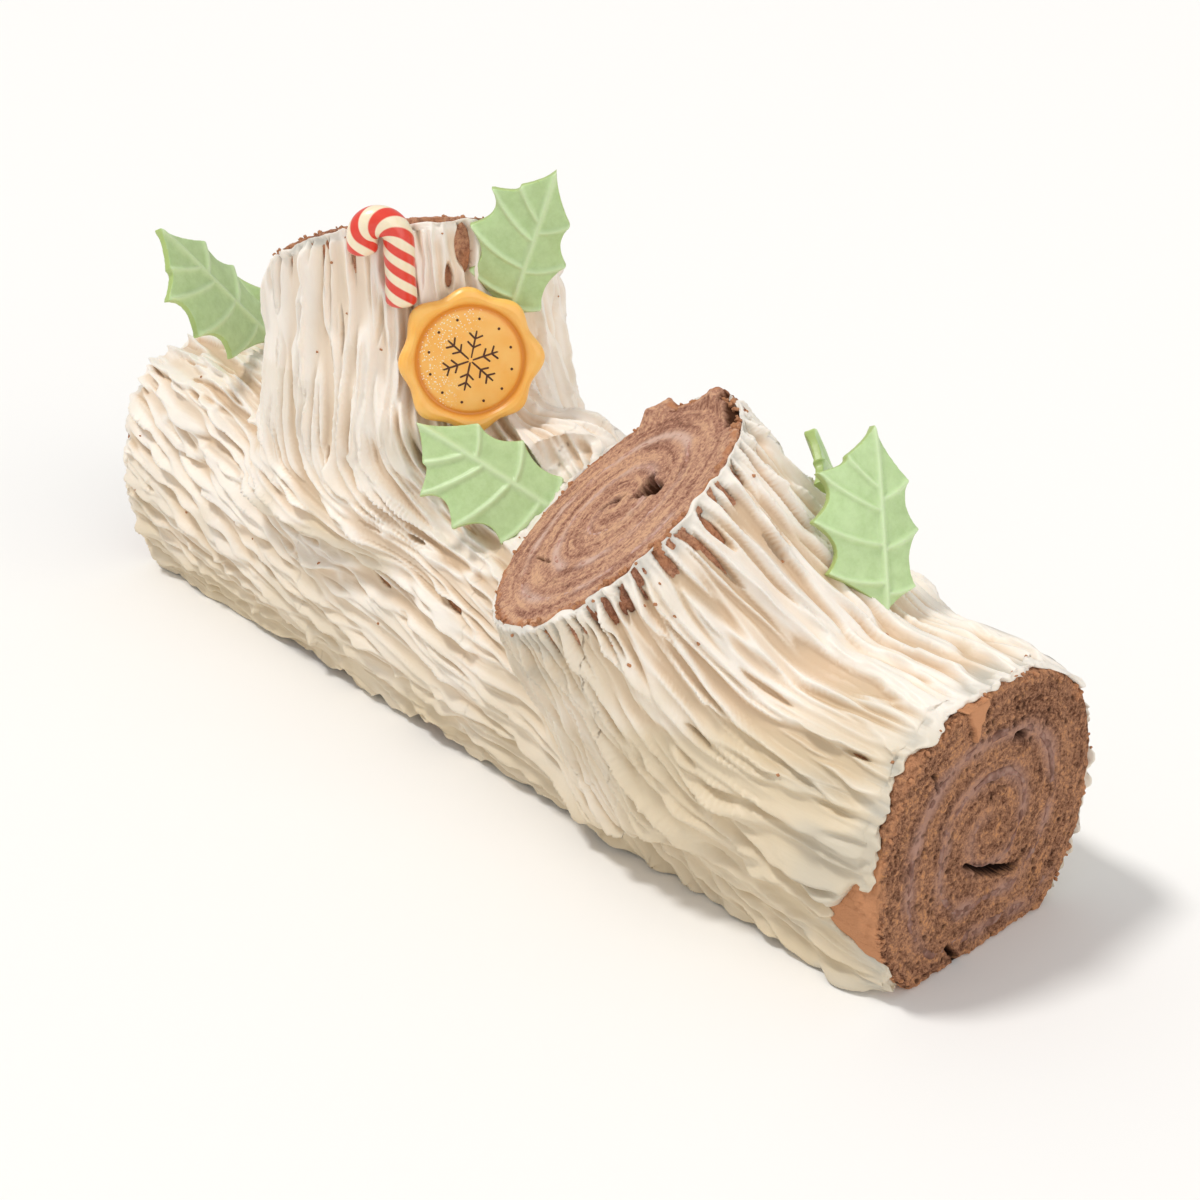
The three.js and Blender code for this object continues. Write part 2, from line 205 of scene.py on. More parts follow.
# Y and Z on the log's section at angle t
def logPoint(t, lift=0.0, share=1.0):
    e = 2 / log["squareness"]
    c, s = np.cos(t), np.sin(t)
    half = np.where(s > 0, log["above"], log["below"])
    y = share * (log["halfWidth"] + lift) * np.sign(c) * np.abs(c) ** e
    z = log["centreHeight"] + share * (half + lift) * np.sign(s) * np.abs(s) ** e
    floorLevel = -np.minimum(lift, 0.3) + log["centreHeight"] * (1 - share) * 0.9
    return y, np.maximum(z, floorLevel)


def branchPoint(branch, t, lift=0.0, share=1.0):
    r = share * (branch["radius"] + lift) * (1 + 0.012 * np.cos(2 * t + 0.7))
    return r * np.cos(t), r * np.sin(t)


def branchNormal(branch):
    return np.array(branch["normal"]) / np.linalg.norm(branch["normal"])


def branchAxes(branch):
    axis = np.array(branch["axis"], float)
    axis /= np.linalg.norm(axis)
    across = np.cross((0, 1, 0), axis)
    across /= np.linalg.norm(across)
    return across, np.cross(axis, across), axis


# from distances across, up and along the axis, counted from the face's centre, to the cake's frame
def branchWorld(branch, local):
    return np.asarray(branch["centre"], float) + local @ np.array(branchAxes(branch))


# distance along the axis from the square section to the sawn face
def branchSlope(branch, x, y):
    across, up, axis = branchAxes(branch)
    normal = np.array(branch["normal"])
    return -(x * (across @ normal) + y * (up @ normal)) / (axis @ normal)


def faceDistance(branch, points):
    return (points - np.array(branch["centre"])) @ branchNormal(branch)


# across, up and outward directions of a piece that faces its heading, and where it stands
def standing(place):
    h, l, r = (math.radians(place.get(k, 0)) for k in ("heading", "lean", "roll"))
    outward = np.array([math.cos(l) * math.cos(h), math.cos(l) * math.sin(h), math.sin(l)])
    tall = np.array([-math.sin(l) * math.cos(h), -math.sin(l) * math.sin(h), math.cos(l)])
    side = np.cross(tall, outward)
    up = tall * math.cos(r) - side * math.sin(r)
    across = side * math.cos(r) + tall * math.sin(r)
    return np.array([across, up, outward]), np.array(place["at"], float)


camera = dict(place=(0.43038, -0.35107, 0.30107), turn=(64.598, 0, 48.147), lens=54.512, sensor=36)
bpy.ops.object.camera_add(location=camera["place"], rotation=[math.radians(a) for a in camera["turn"]])
bpy.context.object.data.lens = camera["lens"]
bpy.context.object.data.sensor_width = camera["sensor"]
bpy.context.scene.camera = bpy.context.object
bpy.context.scene.view_settings.view_transform = "Standard"

# A soft overhead key from the left, a broad fill from the right and a white sky over a pale floor.
studio = dict(
    key=dict(place=(-0.34, -0.36, 1.0), spread=10, power=1.58, colour="#fffdfa"),
    side=dict(place=(1.0, -0.1, 0.42), spread=50, power=0.86, colour="#fffdfa"))
sky = 0.57
paperSweep = dict(size=30, colour="#f4f3f1", roughness=0.9)
for lampName, lamp in studio.items():
    aim = -Vector(lamp["place"])
    bpy.ops.object.light_add(type="SUN", location=lamp["place"],
                             rotation=aim.to_track_quat("-Z", "Y").to_euler())
    light = bpy.context.object
    light.name = lampName + "_light"
    light.data.angle = math.radians(lamp["spread"])
    light.data.energy = lamp["power"]
    light.data.color = linearColour(lamp["colour"])[:3]
world = bpy.data.worlds.new("studio")
world.use_nodes = True
backdrop = world.node_tree.nodes["Background"]
backdrop.inputs["Color"].default_value = (1, 1, 1, 1)
backdrop.inputs["Strength"].default_value = sky
bpy.context.scene.world = world

deselectAll()
bpy.ops.mesh.primitive_plane_add(size=paperSweep["size"], location=(0, 0, 0))
floor = bpy.context.object
floor.name = "floor"
floorMaterial = bpy.data.materials.new("matt white paper sweep")
floorMaterial.use_nodes = True
floorShader = floorMaterial.node_tree.nodes["Principled BSDF"]
floorShader.inputs["Base Color"].default_value = linearColour(paperSweep["colour"])
floorShader.inputs["Roughness"].default_value = paperSweep["roughness"]
floor.data.materials.append(floorMaterial)
print("studio ready")


def newMaterial(name):
    material = bpy.data.materials.new(name)
    material.use_nodes = True
    tree = material.node_tree
    tree.nodes.clear()
    output = addNode(tree, "OutputMaterial")
    return material, tree, output


# colour stops as position and sRGB hex
def rampStops(ramp, stops):
    elements = ramp.color_ramp.elements
    while len(elements) < len(stops):
        elements.new(0.5)
    for element, (position, hexCode) in zip(elements, stops):
        element.position = position
        element.color = linearColour(hexCode)


# Baked chocolate sponge: whisked egg foam set in the oven, cut open. Matt, full of small pores, with paler
# torn crumbs standing up, dark pores between them, and layers that the blade drew out along the roll. The
# crumb ramp is partly the crumb's own tone and partly painted light: paler crumbs as if lit, darker as if
# shaded. The pit attribute paints shade deep in the pores and torn gaps.
def spongeMaterial(name, look):
    material, tree, output = newMaterial(name)
    place = addNode(tree, "TexCoord").outputs["Object"]
    roll = addNode(tree, "UVMap", {"uv_map": "roll"}).outputs[0]
    crumb = addNode(tree, "TexNoise", {"Scale": 780, "Detail": 6, "Roughness": 0.66}, {"Vector": place})
    grit = addNode(tree, "TexNoise", {"Scale": 2600, "Detail": 2}, {"Vector": place})
    layers = addNode(tree, "Mapping", {"Scale": (1.1, 9.5, 1)}, {"Vector": roll})
    drawn = addNode(tree, "TexNoise", {"Scale": 1, "Detail": 4, "Roughness": 0.6},
                    {"Vector": layers.outputs[0]})
    mixed = addNode(tree, "Mix", {0: look["drawn"]}, {2: crumb.outputs["Fac"], 3: drawn.outputs["Fac"]})
    sheets = addNode(tree, "Mapping", {"Scale": (0.35, 3.0, 1)}, {"Vector": roll})
    banded = addNode(tree, "TexNoise", {"Scale": 1, "Detail": 2}, {"Vector": sheets.outputs[0]})
    broad = addNode(tree, "Math",
                    {"operation": "MULTIPLY_ADD", 1: look["banded"], 2: -look["banded"] / 2},
                    {0: banded.outputs["Fac"]})
    fine = addNode(tree, "Math", {"operation": "MULTIPLY_ADD", 1: 0.35},
                   {0: grit.outputs["Fac"], 2: mixed.outputs[0]})
    grain = addNode(tree, "Math", {"operation": "ADD"}, {0: fine.outputs[0], 1: broad.outputs[0]})
    ramp = addNode(tree, "ValToRGB", None, {"Fac": grain.outputs[0]})
    rampStops(ramp, look["crumb"])
    # pit darkens the pores and torn gaps as painted shade
    smear, crust, pit = (addNode(tree, "Attribute", {"attribute_name": n}) for n in ("smear", "crust", "pit"))
    toasted = addNode(tree, "Math", {"operation": "MULTIPLY", "use_clamp": True},
                      {0: crust.outputs["Fac"], 1: grain.outputs[0]})
    colour = ramp.outputs["Color"]
    shares = dict(smear=smear.outputs["Fac"], crust=toasted.outputs[0], pore=pit.outputs["Fac"])
    for tint, share in shares.items():
        layer = addNode(tree, "Mix", {"data_type": "RGBA", 7: linearColour(look[tint])},
                        {0: share, 6: colour})
        colour = layer.outputs[2]
    bump = addNode(tree, "Bump", {"Strength": 1.0, "Distance": 0.0008}, {"Height": grain.outputs[0]})
    shader = addNode(tree, "BsdfPrincipled",
                     {"Roughness": 0.9, "IOR": 1.4, "Specular IOR Level": 0.25},
                     {"Base Color": colour, "Normal": bump.outputs[0]})
    tree.links.new(shader.outputs[0], output.inputs[0])
    return material


# Two copies of one sponge. The near face's palette is painted darker as shade and the branch faces' palette
# paler as if lit; their torn and sawn textures differ for real.
shadedLogCrumb = spongeMaterial("baked chocolate sponge, torn by the knife", dict(
    drawn=0.25, banded=0.34,
    crumb=((0.51, "#4e2d1d"), (0.61, "#7f563f"), (0.71, "#a5785c"), (0.82, "#ca9062")),
    pore="#331c12", smear="#b18a7a", crust="#cb9068"))
litBranchCrumb = spongeMaterial("baked chocolate sponge, sawn close, painted paler as lit", dict(
    drawn=0.16, banded=0.74,
    crumb=((0.46, "#7c5344"), (0.59, "#a87863"), (0.71, "#c99a80"), (0.83, "#dfb18e")),
    pore="#5a3723", smear="#dcbaaa", crust="#c07d50"))


# Whipped chocolate cream rolled into the sheet: soft, pinkish brown, matt where the knife dragged it. Its two
# copies are painted light and shade: darker on the shaded near face, paler on the lit branch faces.
def whippedCream(name, stops):
    material, tree, output = newMaterial(name)
    place = addNode(tree, "TexCoord").outputs["Object"]
    streak = addNode(tree, "TexNoise", {"Scale": 420, "Detail": 4}, {"Vector": place})
    ramp = addNode(tree, "ValToRGB", None, {"Fac": streak.outputs["Fac"]})
    rampStops(ramp, stops)
    bump = addNode(tree, "Bump", {"Strength": 0.6, "Distance": 0.0005},
                   {"Height": streak.outputs["Fac"]})
    shader = addNode(tree, "BsdfPrincipled",
                     {"Roughness": 0.75, "IOR": 1.42, "Subsurface Weight": 0.12, "Subsurface Scale": 0.001},
                     {"Base Color": ramp.outputs["Color"], "Normal": bump.outputs[0]})
    tree.links.new(shader.outputs[0], output.inputs[0])
    return material


shadedCream = whippedCream("whipped cocoa cream, painted darker in shade",
                         ((0.36, "#6d4a3c"), (0.5, "#866052"), (0.66, "#9d7a6b")))
litCream = whippedCream("whipped cocoa cream, painted paler as lit",
                         ((0.36, "#ac7a66"), (0.5, "#c4998a"), (0.66, "#d6b3a6")))

# Buttercream: butter beaten with sugar and spread with a palette knife. Ivory, satin and a little
# translucent, with fine drag lines. Painted shade makes the grooves darker and more peach. Painted shade and
# a painted peach reflection of the board deepen the tone low down and underneath. It is greyer where it is
# scraped thin, and on the shaded lower sides that grey is partly painted shade.
buttercream, tree, output = newMaterial("ivory buttercream, combed")
place = addNode(tree, "TexCoord").outputs["Object"]
groove, thin, low, upright = (addNode(tree, "Attribute", {"attribute_name": n}).outputs["Fac"]
                              for n in ("groove", "thin", "low", "upright"))
drags = []  # along the log, and up the branches
for scale in ((90, 1300, 1300), (1300, 1300, 90)):
    stretched = addNode(tree, "Mapping", {"Scale": scale}, {"Vector": place})
    drags.append(addNode(tree, "TexNoise", {"Scale": 1, "Detail": 3}, {"Vector": stretched.outputs[0]}))
drag = addNode(tree, "Mix", None, {0: upright, 2: drags[0].outputs["Fac"], 3: drags[1].outputs["Fac"]})
cloud = addNode(tree, "TexNoise", {"Scale": 45, "Detail": 3}, {"Vector": place})
tone = addNode(tree, "ValToRGB", None, {"Fac": cloud.outputs["Fac"]})
rampStops(tone, ((0.36, "#f0e8de"), (0.52, "#f5ede2"), (0.68, "#f8efe4")))
# painted shade: darker and more peach in the grooves
grooveShadeTint = addNode(tree, "ValToRGB", None, {"Fac": groove})
rampStops(grooveShadeTint, ((0.0, "#ffffff"), (0.35, "#f6ece0"), (1.0, "#d8c0a3")))
grooved = addNode(tree, "Mix", {"data_type": "RGBA", "blend_type": "MULTIPLY", 0: 1.0},
                  {6: tone.outputs["Color"], 7: grooveShadeTint.outputs["Color"]})
colour = grooved.outputs[2]
# low: painted shade and a painted peach reflection of the board; thin: greyer where the cream is thin, partly
# painted shade
for share, tint in ((low, "#d6c5a6"), (thin, "#b9b7ae")):
    layer = addNode(tree, "Mix", {"data_type": "RGBA", 7: linearColour(tint)}, {0: share, 6: colour})
    colour = layer.outputs[2]
bump = addNode(tree, "Bump", {"Strength": 0.22, "Distance": 0.0005}, {"Height": drag.outputs[0]})
shader = addNode(tree, "BsdfPrincipled",
                 {"Roughness": 0.46, "IOR": 1.45, "Subsurface Weight": 0.12, "Subsurface Scale": 0.0013,
                  "Subsurface Radius": (1.0, 0.75, 0.55)},
                 {"Base Color": colour, "Normal": bump.outputs[0]})
tree.links.new(shader.outputs[0], output.inputs[0])

# Sugar paste pressed in a leaf mould: pale green and satin. The raised veins are painted a little lighter as
# a highlight, and the leaf's sides by the rim are painted darker olive as shade.
leafPaste, tree, output = newMaterial("moulded sugar paste, pale green")
place = addNode(tree, "TexCoord").outputs["Object"]
vein, edge = (addNode(tree, "Attribute", {"attribute_name": n}).outputs["Fac"] for n in ("vein", "edge"))
mottle = addNode(tree, "TexNoise", {"Scale": 260, "Detail": 6, "Roughness": 0.68}, {"Vector": place})
tone = addNode(tree, "ValToRGB", None, {"Fac": mottle.outputs["Fac"]})
rampStops(tone, ((0.35, "#b1cb90"), (0.65, "#bfd8a0")))
colour = tone.outputs["Color"]
# painted highlight on the veins, painted shade on the sides
for share, tint in ((vein, "#d2e6b8"), (edge, "#a9bd6c")):
    layer = addNode(tree, "Mix", {"data_type": "RGBA", 7: linearColour(tint)}, {0: share, 6: colour})
    colour = layer.outputs[2]
bump = addNode(tree, "Bump", {"Strength": 0.3, "Distance": 0.0006}, {"Height": mottle.outputs["Fac"]})
shader = addNode(tree, "BsdfPrincipled",
                 {"Roughness": 0.36, "IOR": 1.47, "Subsurface Weight": 0.15, "Subsurface Scale": 0.0016,
                  "Subsurface Radius": (0.7, 1.0, 0.4)},
                 {"Base Color": colour, "Normal": bump.outputs[0]})
tree.links.new(shader.outputs[0], output.inputs[0])

# Sugar paste pressed like a wax seal: amber, glossy on the rim, with fine sugar specks in the face. Painted
# shade makes the hollow inside the rim a deeper amber. The specks on the face's left are real sugar bumps,
# and their pale colour is a painted glint.
sealPaste, tree, output = newMaterial("moulded sugar paste, amber")
place = addNode(tree, "TexCoord").outputs["Object"]
hollow, sugared = (addNode(tree, "Attribute", {"attribute_name": n}).outputs["Fac"]
                   for n in ("hollow", "sugared"))
mottle = addNode(tree, "TexNoise", {"Scale": 150, "Detail": 4}, {"Vector": place})
speck = addNode(tree, "TexVoronoi", {"Scale": 1300}, {"Vector": place})
spark = addNode(tree, "Math", {"operation": "LESS_THAN", 1: 0.27}, {0: speck.outputs["Distance"]})
sugarGlints = addNode(tree, "Math", {"operation": "MULTIPLY"}, {0: spark.outputs[0], 1: sugared})
tone = addNode(tree, "ValToRGB", None, {"Fac": mottle.outputs["Fac"]})
rampStops(tone, ((0.35, "#fcba57"), (0.65, "#fec66c")))
colour = tone.outputs["Color"]
# painted shade in the hollow, painted glints on the sugar specks
for share, tint in ((hollow, "#e08d2a"), (sugarGlints.outputs[0], "#fff0d4")):
    layer = addNode(tree, "Mix", {"data_type": "RGBA", 7: linearColour(tint)}, {0: share, 6: colour})
    colour = layer.outputs[2]
bump = addNode(tree, "Bump", {"Strength": 0.3, "Distance": 0.0003}, {"Height": sugarGlints.outputs[0]})
shader = addNode(tree, "BsdfPrincipled",
                 {"Roughness": 0.33, "IOR": 1.48, "Subsurface Weight": 0.15, "Subsurface Scale": 0.0015,
                  "Subsurface Radius": (1.0, 0.5, 0.15)},
                 {"Base Color": colour, "Normal": bump.outputs[0]})
tree.links.new(shader.outputs[0], output.inputs[0])

# Edible ink: dark brown, thin and dull.
edibleInk, tree, output = newMaterial("edible ink, dark brown")
place = addNode(tree, "TexCoord").outputs["Object"]
worn = addNode(tree, "TexNoise", {"Scale": 900, "Detail": 3}, {"Vector": place})
tone = addNode(tree, "ValToRGB", None, {"Fac": worn.outputs["Fac"]})
rampStops(tone, ((0.35, "#45210f"), (0.7, "#5f3417")))
shader = addNode(tree, "BsdfPrincipled", {"Roughness": 0.5, "IOR": 1.45},
                 {"Base Color": tone.outputs["Color"]})
tree.links.new(shader.outputs[0], output.inputs[0])

# Boiled sugar candy, pulled and twisted: two red stripes wind round a cream stick. Hard, clear gloss.
caneSugar, tree, output = newMaterial("boiled sugar, red and cream stripes")
caneUv = addNode(tree, "UVMap", {"uv_map": "UVMap"})
split = addNode(tree, "SeparateXYZ", None, {0: caneUv.outputs[0]})
around = addNode(tree, "Math", {"operation": "MULTIPLY", 1: -3}, {0: split.outputs[0]})
twist = addNode(tree, "Math", {"operation": "MULTIPLY_ADD", 1: 7.0},
                {0: split.outputs[1], 2: around.outputs[0]})
turn = addNode(tree, "Math", {"operation": "FRACT"}, {0: twist.outputs[0]})
stripe = addNode(tree, "ValToRGB", None, {"Fac": turn.outputs[0]})
rampStops(stripe, ((0.0, "#f6e6c6"), (0.44, "#f7e8ca"), (0.5, "#e4402f"), (0.93, "#e3402f"),
                   (1.0, "#f6e6c6")))
place = addNode(tree, "TexCoord").outputs["Object"]
drawnOut = addNode(tree, "TexNoise", {"Scale": 700, "Detail": 3}, {"Vector": place})
veined = addNode(tree, "Mix", {"data_type": "RGBA", "blend_type": "SOFT_LIGHT", 0: 0.35},
                 {6: stripe.outputs["Color"], 7: drawnOut.outputs["Fac"]})
shader = addNode(tree, "BsdfPrincipled",
                 {"Roughness": 0.28, "IOR": 1.5, "Subsurface Weight": 0.1, "Subsurface Scale": 0.0015,
                  "Coat Weight": 0.3, "Coat Roughness": 0.2},
                 {"Base Color": veined.outputs[2]})
tree.links.new(shader.outputs[0], output.inputs[0])
print("materials ready")


# Each roll starts as a square grid that is drawn out along the roll and pressed round.
crumbRelief = dict(logCells=184, branchCells=156,
                   rings=[1.3] * 8, logSteps=8, branchSteps=6)


def addGrid(across, up):
    deselectAll()
    bpy.ops.mesh.primitive_grid_add(x_subdivisions=across, y_subdivisions=up, size=2)
    return bpy.context.object


# angle and share of the radius of each point once the square is pressed round, and its height
def discPlaces(piece):
    points = readPoints(piece) * mm
    x, y = points[:, 0], points[:, 1]
    u, v = x * np.sqrt(1 - y * y / 2), y * np.sqrt(1 - x * x / 2)
    return np.arctan2(v, u), np.hypot(u, v), points[:, 2]


# draws the sheet down its own axis, step by step, into a closed body; its top stays at height 0
def extrudeSteps(piece, steps):
    makeActive(piece)
    bpy.ops.object.mode_set(mode="EDIT")
    bpy.ops.mesh.select_mode(type="FACE")
    bpy.ops.mesh.select_all(action="SELECT")
    for step in steps:
        bpy.ops.mesh.extrude_region_move(TRANSFORM_OT_translate={"value": (0, 0, -step)})
    closeEdit()
    turnOut(piece)


def branchSection(branch):
    return lambda t, lift=0.0, share=1.0: branchPoint(branch, t, lift, share)


def spiralLine(sectionAt, startAngle, first=0.0, last=1.0, count=280):
    f = np.linspace(first, last, count)
    share = spiral["inner"] + (spiral["outer"] - spiral["inner"]) * f
    t = startAngle + fullTurn * spiral["turns"] * f
    return np.stack(sectionAt(t, 0.0, np.maximum(share, 0.01)), -1)


def lengthsAlong(line):
    return np.concatenate([[0], np.cumsum(np.linalg.norm(np.diff(line, axis=0), axis=1))])


def lineFrame(line):
    ahead = np.gradient(line, axis=0)
    ahead /= np.linalg.norm(ahead, axis=1)[:, None]
    return ahead, np.stack([-ahead[:, 1], ahead[:, 0]], -1), lengthsAlong(line)


# how far along a line of points, and how far to its side, each point lies
def besideLine(line, points):
    ahead, aside, lengths = lineFrame(line)
    best, index = np.full(len(points), 1e9), np.zeros(len(points), int)
    for i, p in enumerate(line):
        away = np.hypot(points[:, 0] - p[0], points[:, 1] - p[1])
        closer = away < best
        best[closer], index[closer] = away[closer], i
    offset = points - line[index]
    return lengths[index] + np.sum(offset * ahead[index], axis=1), np.sum(offset * aside[index], axis=1)


def nearestOn(line, points):
    best = np.full(len(points), 1e9)
    for p in line:
        best = np.minimum(best, np.hypot(points[:, 0] - p[0], points[:, 1] - p[1]))
    return best


# how deep a torn gap between two points is at each point
def gash(points, ends, width, depth):
    a, b = np.array(ends[0], float), np.array(ends[1], float)
    along = np.clip((points - a) @ (b - a) / ((b - a) @ (b - a)), 0, 1)
    away = np.linalg.norm(points - a - along[:, None] * (b - a), axis=1)
    return depth * np.clip(1 - (away / width) ** 3, 0, 1)


# relief of torn sponge: lumps and pores of two sizes, and how far down in a pore each point is, used as
# painted shade
def crumbHeight(points, seed, look):
    lumps = 0.30 * wander(points, 4.5, seed)
    lumps = lumps + 0.32 * wander(points, 2.0, seed + 5) + 0.24 * wander(points, 1.05, seed + 9)
    big = smoothStep(0.36 - pores(points, 2.9, seed + 11), 0, 0.16)
    big = big * smoothStep(wander(points, 9, seed + 2), -0.2, 0.5)
    small = smoothStep(0.44 - pores(points, 1.35, seed + 21), 0, 0.2)
    small = small * smoothStep(wander(points, 5, seed + 3), -0.5, 0.4)
    relief = look["lumps"] * lumps - look["pores"] * (0.9 * big + 0.5 * small)
    return relief, look["pit"] * np.clip(0.9 * big + 0.55 * small, 0, 1)


torn = dict(lumps=1.15, pores=0.85, pit=0.9, drawn=0.2, band=2.6)  # knife dragged through soft crumb
sawn = dict(lumps=0.8, pores=0.15, pit=0.25, drawn=0.14, band=1.6)  # cut closer, its layers drawn out
# oven skin of the log, scraped clean behind the near face, and a strip of it turned over at that face's top
skin = dict(crust=1.9, fromEnd=29, beside=-25, top=48)
chip = dict(middle=-10.8, foot=69.5, slope=2.6, proud=1.5)
nearTears = (  # ends (Y, Z) of each torn gap in the near face, its half width and depth
    (((-9, 31), (-3.5, 27)), 0.8, 5), (((-4, 27), (1.5, 25.2)), 1.4, 8), (((1, 25.5), (7.5, 22.5)), 1.7, 8),
    (((7, 22.5), (13.5, 21.5)), 1.4, 7), (((13.5, 21.5), (18, 25)), 0.8, 4),
    (((7.5, 65), (11.5, 63.5)), 1.2, 5), (((-9, 1), (-14, 7)), 1.2, 5), (((-27, 66), (-24.5, 60)), 0.8, 2))
frontTears = (  # (across, up) in the front branch's face
    (((8, 4.2), (19, 2.6)), 2.1, 9), (((9.6, 9.2), (11.5, 4.5)), 2.0, 9), (((10.5, 5.6), (16, 4)), 3.2, 9),
    (((20, 38), (27, 34)), 2.3, 7), (((27, 34), (34, 26)), 2.8, 8), (((-7, 2), (1, 5)), 1.1, 3),
    (((-25, -14), (-16, -18)), 0.6, 2))
rearTears = ((((-6, 4), (6, 8)), 1.6, 6), (((14, -18), (20, -12)), 1.0, 4))
farTears = ((((-4, 34), (8, 30)), 1.8, 7), (((-20, 60), (-14, 64)), 1.0, 4))


# height of a sawn face, how deep its pits and torn gaps are, painted dark as shade, and where the cream is
# rubbed into it
def faceRelief(flat, roll, band, tears, seed, look):
    solid = np.column_stack([flat, np.full(len(flat), seed * 3.1)])
    height, pit = crumbHeight(solid, seed, look)
    drawn = np.column_stack([roll[:, 0] / 9, roll[:, 1] / 1.5, np.full(len(flat), seed)])
    height += look["drawn"] * (wander(drawn, 1, seed + 44) + 0.6 * wander(drawn * [1, 2.1, 1], 1, seed + 45))
    rubbed = np.exp(-(band / look["band"]) ** 2) * (0.5 + 0.8 * wander(solid, 8, seed + 51))
    height *= 1 - 0.5 * np.clip(rubbed, 0, 1)
    wobble = flat + 0.7 * np.stack([wander(solid, 2.6, seed + 41), wander(solid, 2.6, seed + 42)], -1)
    # torn gaps are cut into the face and, by their depth, painted dark as shade
    for ends, width, depth in tears:
        cut = gash(wobble, ends, width, depth)
        height -= cut
        pit = np.maximum(pit, np.clip(cut / 1.6, 0, 1))
    return height, pit, np.clip(rubbed, 0, 1)


# UV in cm: along the winding layers and across them
def writeRoll(piece, roll):
    loops = np.empty(len(piece.data.loops), np.int32)
    piece.data.loops.foreach_get("vertex_index", loops)
    uv = (roll / 10)[loops].reshape(-1, 4, 2)
    jump = np.ptp(uv[:, :, 0], axis=1) > 0.8
    uv[jump] = uv[jump][:, :1]
    layer = piece.data.uv_layers.new(name="roll")
    layer.data.foreach_set("uv", uv.astype(np.float32).ravel())
    piece.data.uv_layers.active = layer


# where each point lies on the rolled-up sheet: along it and across it
def windingPlaces(sectionAt, body, section):
    line = spiralLine(sectionAt, body["spiralStart"], -0.15, 1.22, spiral["points"])
    return np.stack(besideLine(line, section), -1)


def makeLogSponge():
    piece = addGrid(crumbRelief["logCells"], crumbRelief["logCells"])
    rings, steps = crumbRelief["rings"], crumbRelief["logSteps"]
    extrudeSteps(piece, rings + [(logLength - 2 * sum(rings)) / steps] * steps + rings)
    t, share, height = discPlaces(piece)
    edgeY, edgeZ = logPoint(t)
    section = np.column_stack([edgeY * share, log["centreHeight"] + (edgeZ - log["centreHeight"]) * share])
    along = log["nearEnd"] + height
    spot = np.column_stack([along, section])
    pit, smear, crust = np.zeros(len(spot)), np.zeros(len(spot)), np.zeros(len(spot))
    roll = windingPlaces(logPoint, log, section)
    band = nearestOn(spiralLine(logPoint, log["spiralStart"]), section)
    for end, outward, tears, seed in (("nearEnd", 1, nearTears, 3), ("farEnd", -1, farTears, 8)):
        cap = np.abs(along - log[end]) < 0.01
        relief, pit[cap], smear[cap] = faceRelief(section[cap], roll[cap], band[cap], tears, seed, torn)
        rim = smoothStep(share[cap], 0.975, 1.0)
        spot[cap, 0] += outward * (relief * (1 - 0.5 * rim) - 1.1 * rim)
        crust[cap] = 0.6 * smoothStep(share[cap] + 0.06 * wander(spot[cap], 2.5, 71), 0.955, 1.0)
    side = share > 0.999
    relief, sidePits = crumbHeight(spot[side], 17, torn)
    radial = section[side] - np.array([0, log["centreHeight"]])
    radial /= np.linalg.norm(radial, axis=1)[:, None]
    above = smoothStep(section[side, 1], 0.2, 4)
    endward = np.minimum(np.abs(spot[side, 0] - log["nearEnd"]), np.abs(spot[side, 0] - log["farEnd"]))
    nearEnds = 0.35 + 0.65 * smoothStep(13 - endward, 0, 6)
    spot[side, 1:] += radial * ((relief * 0.8 + 0.25) * above * nearEnds)[:, None]
    spot[:, 2] = np.maximum(spot[:, 2], 0.0)
    pit[side] = sidePits * 0.6
    crust[side] = 0.3 + 0.5 * smoothStep(wander(spot[side], 4, 77), -0.2, 0.5)
    bare = side & (along > log["nearEnd"] - skin["fromEnd"]) & (section[:, 0] < skin["beside"])
    bare &= section[:, 1] < skin["top"]
    crust[bare], pit[bare] = skin["crust"], 0
    offMiddle = section[:, 0] - chip["middle"] + 0.12 * (section[:, 1] - 64) - wander(spot, 2, 81)
    lifted = (np.abs(along - log["nearEnd"]) < 4) & (section[:, 1] > 68)
    lifted &= section[:, 1] - chip["foot"] > chip["slope"] * np.abs(offMiddle)
    crust[lifted], pit[lifted], smear[lifted] = skin["crust"], 0, 0
    spot[lifted, 0] = log["nearEnd"] + chip["proud"] + 0.35 * wander(spot[lifted], 3, 82)
    writePoints(piece, spot)
    writeValues(piece, pit=pit, smear=smear, crust=crust)
    writeRoll(piece, roll)
    finishPiece(piece, "log_sponge_cut", shadedLogCrumb, ("log_sponge",))


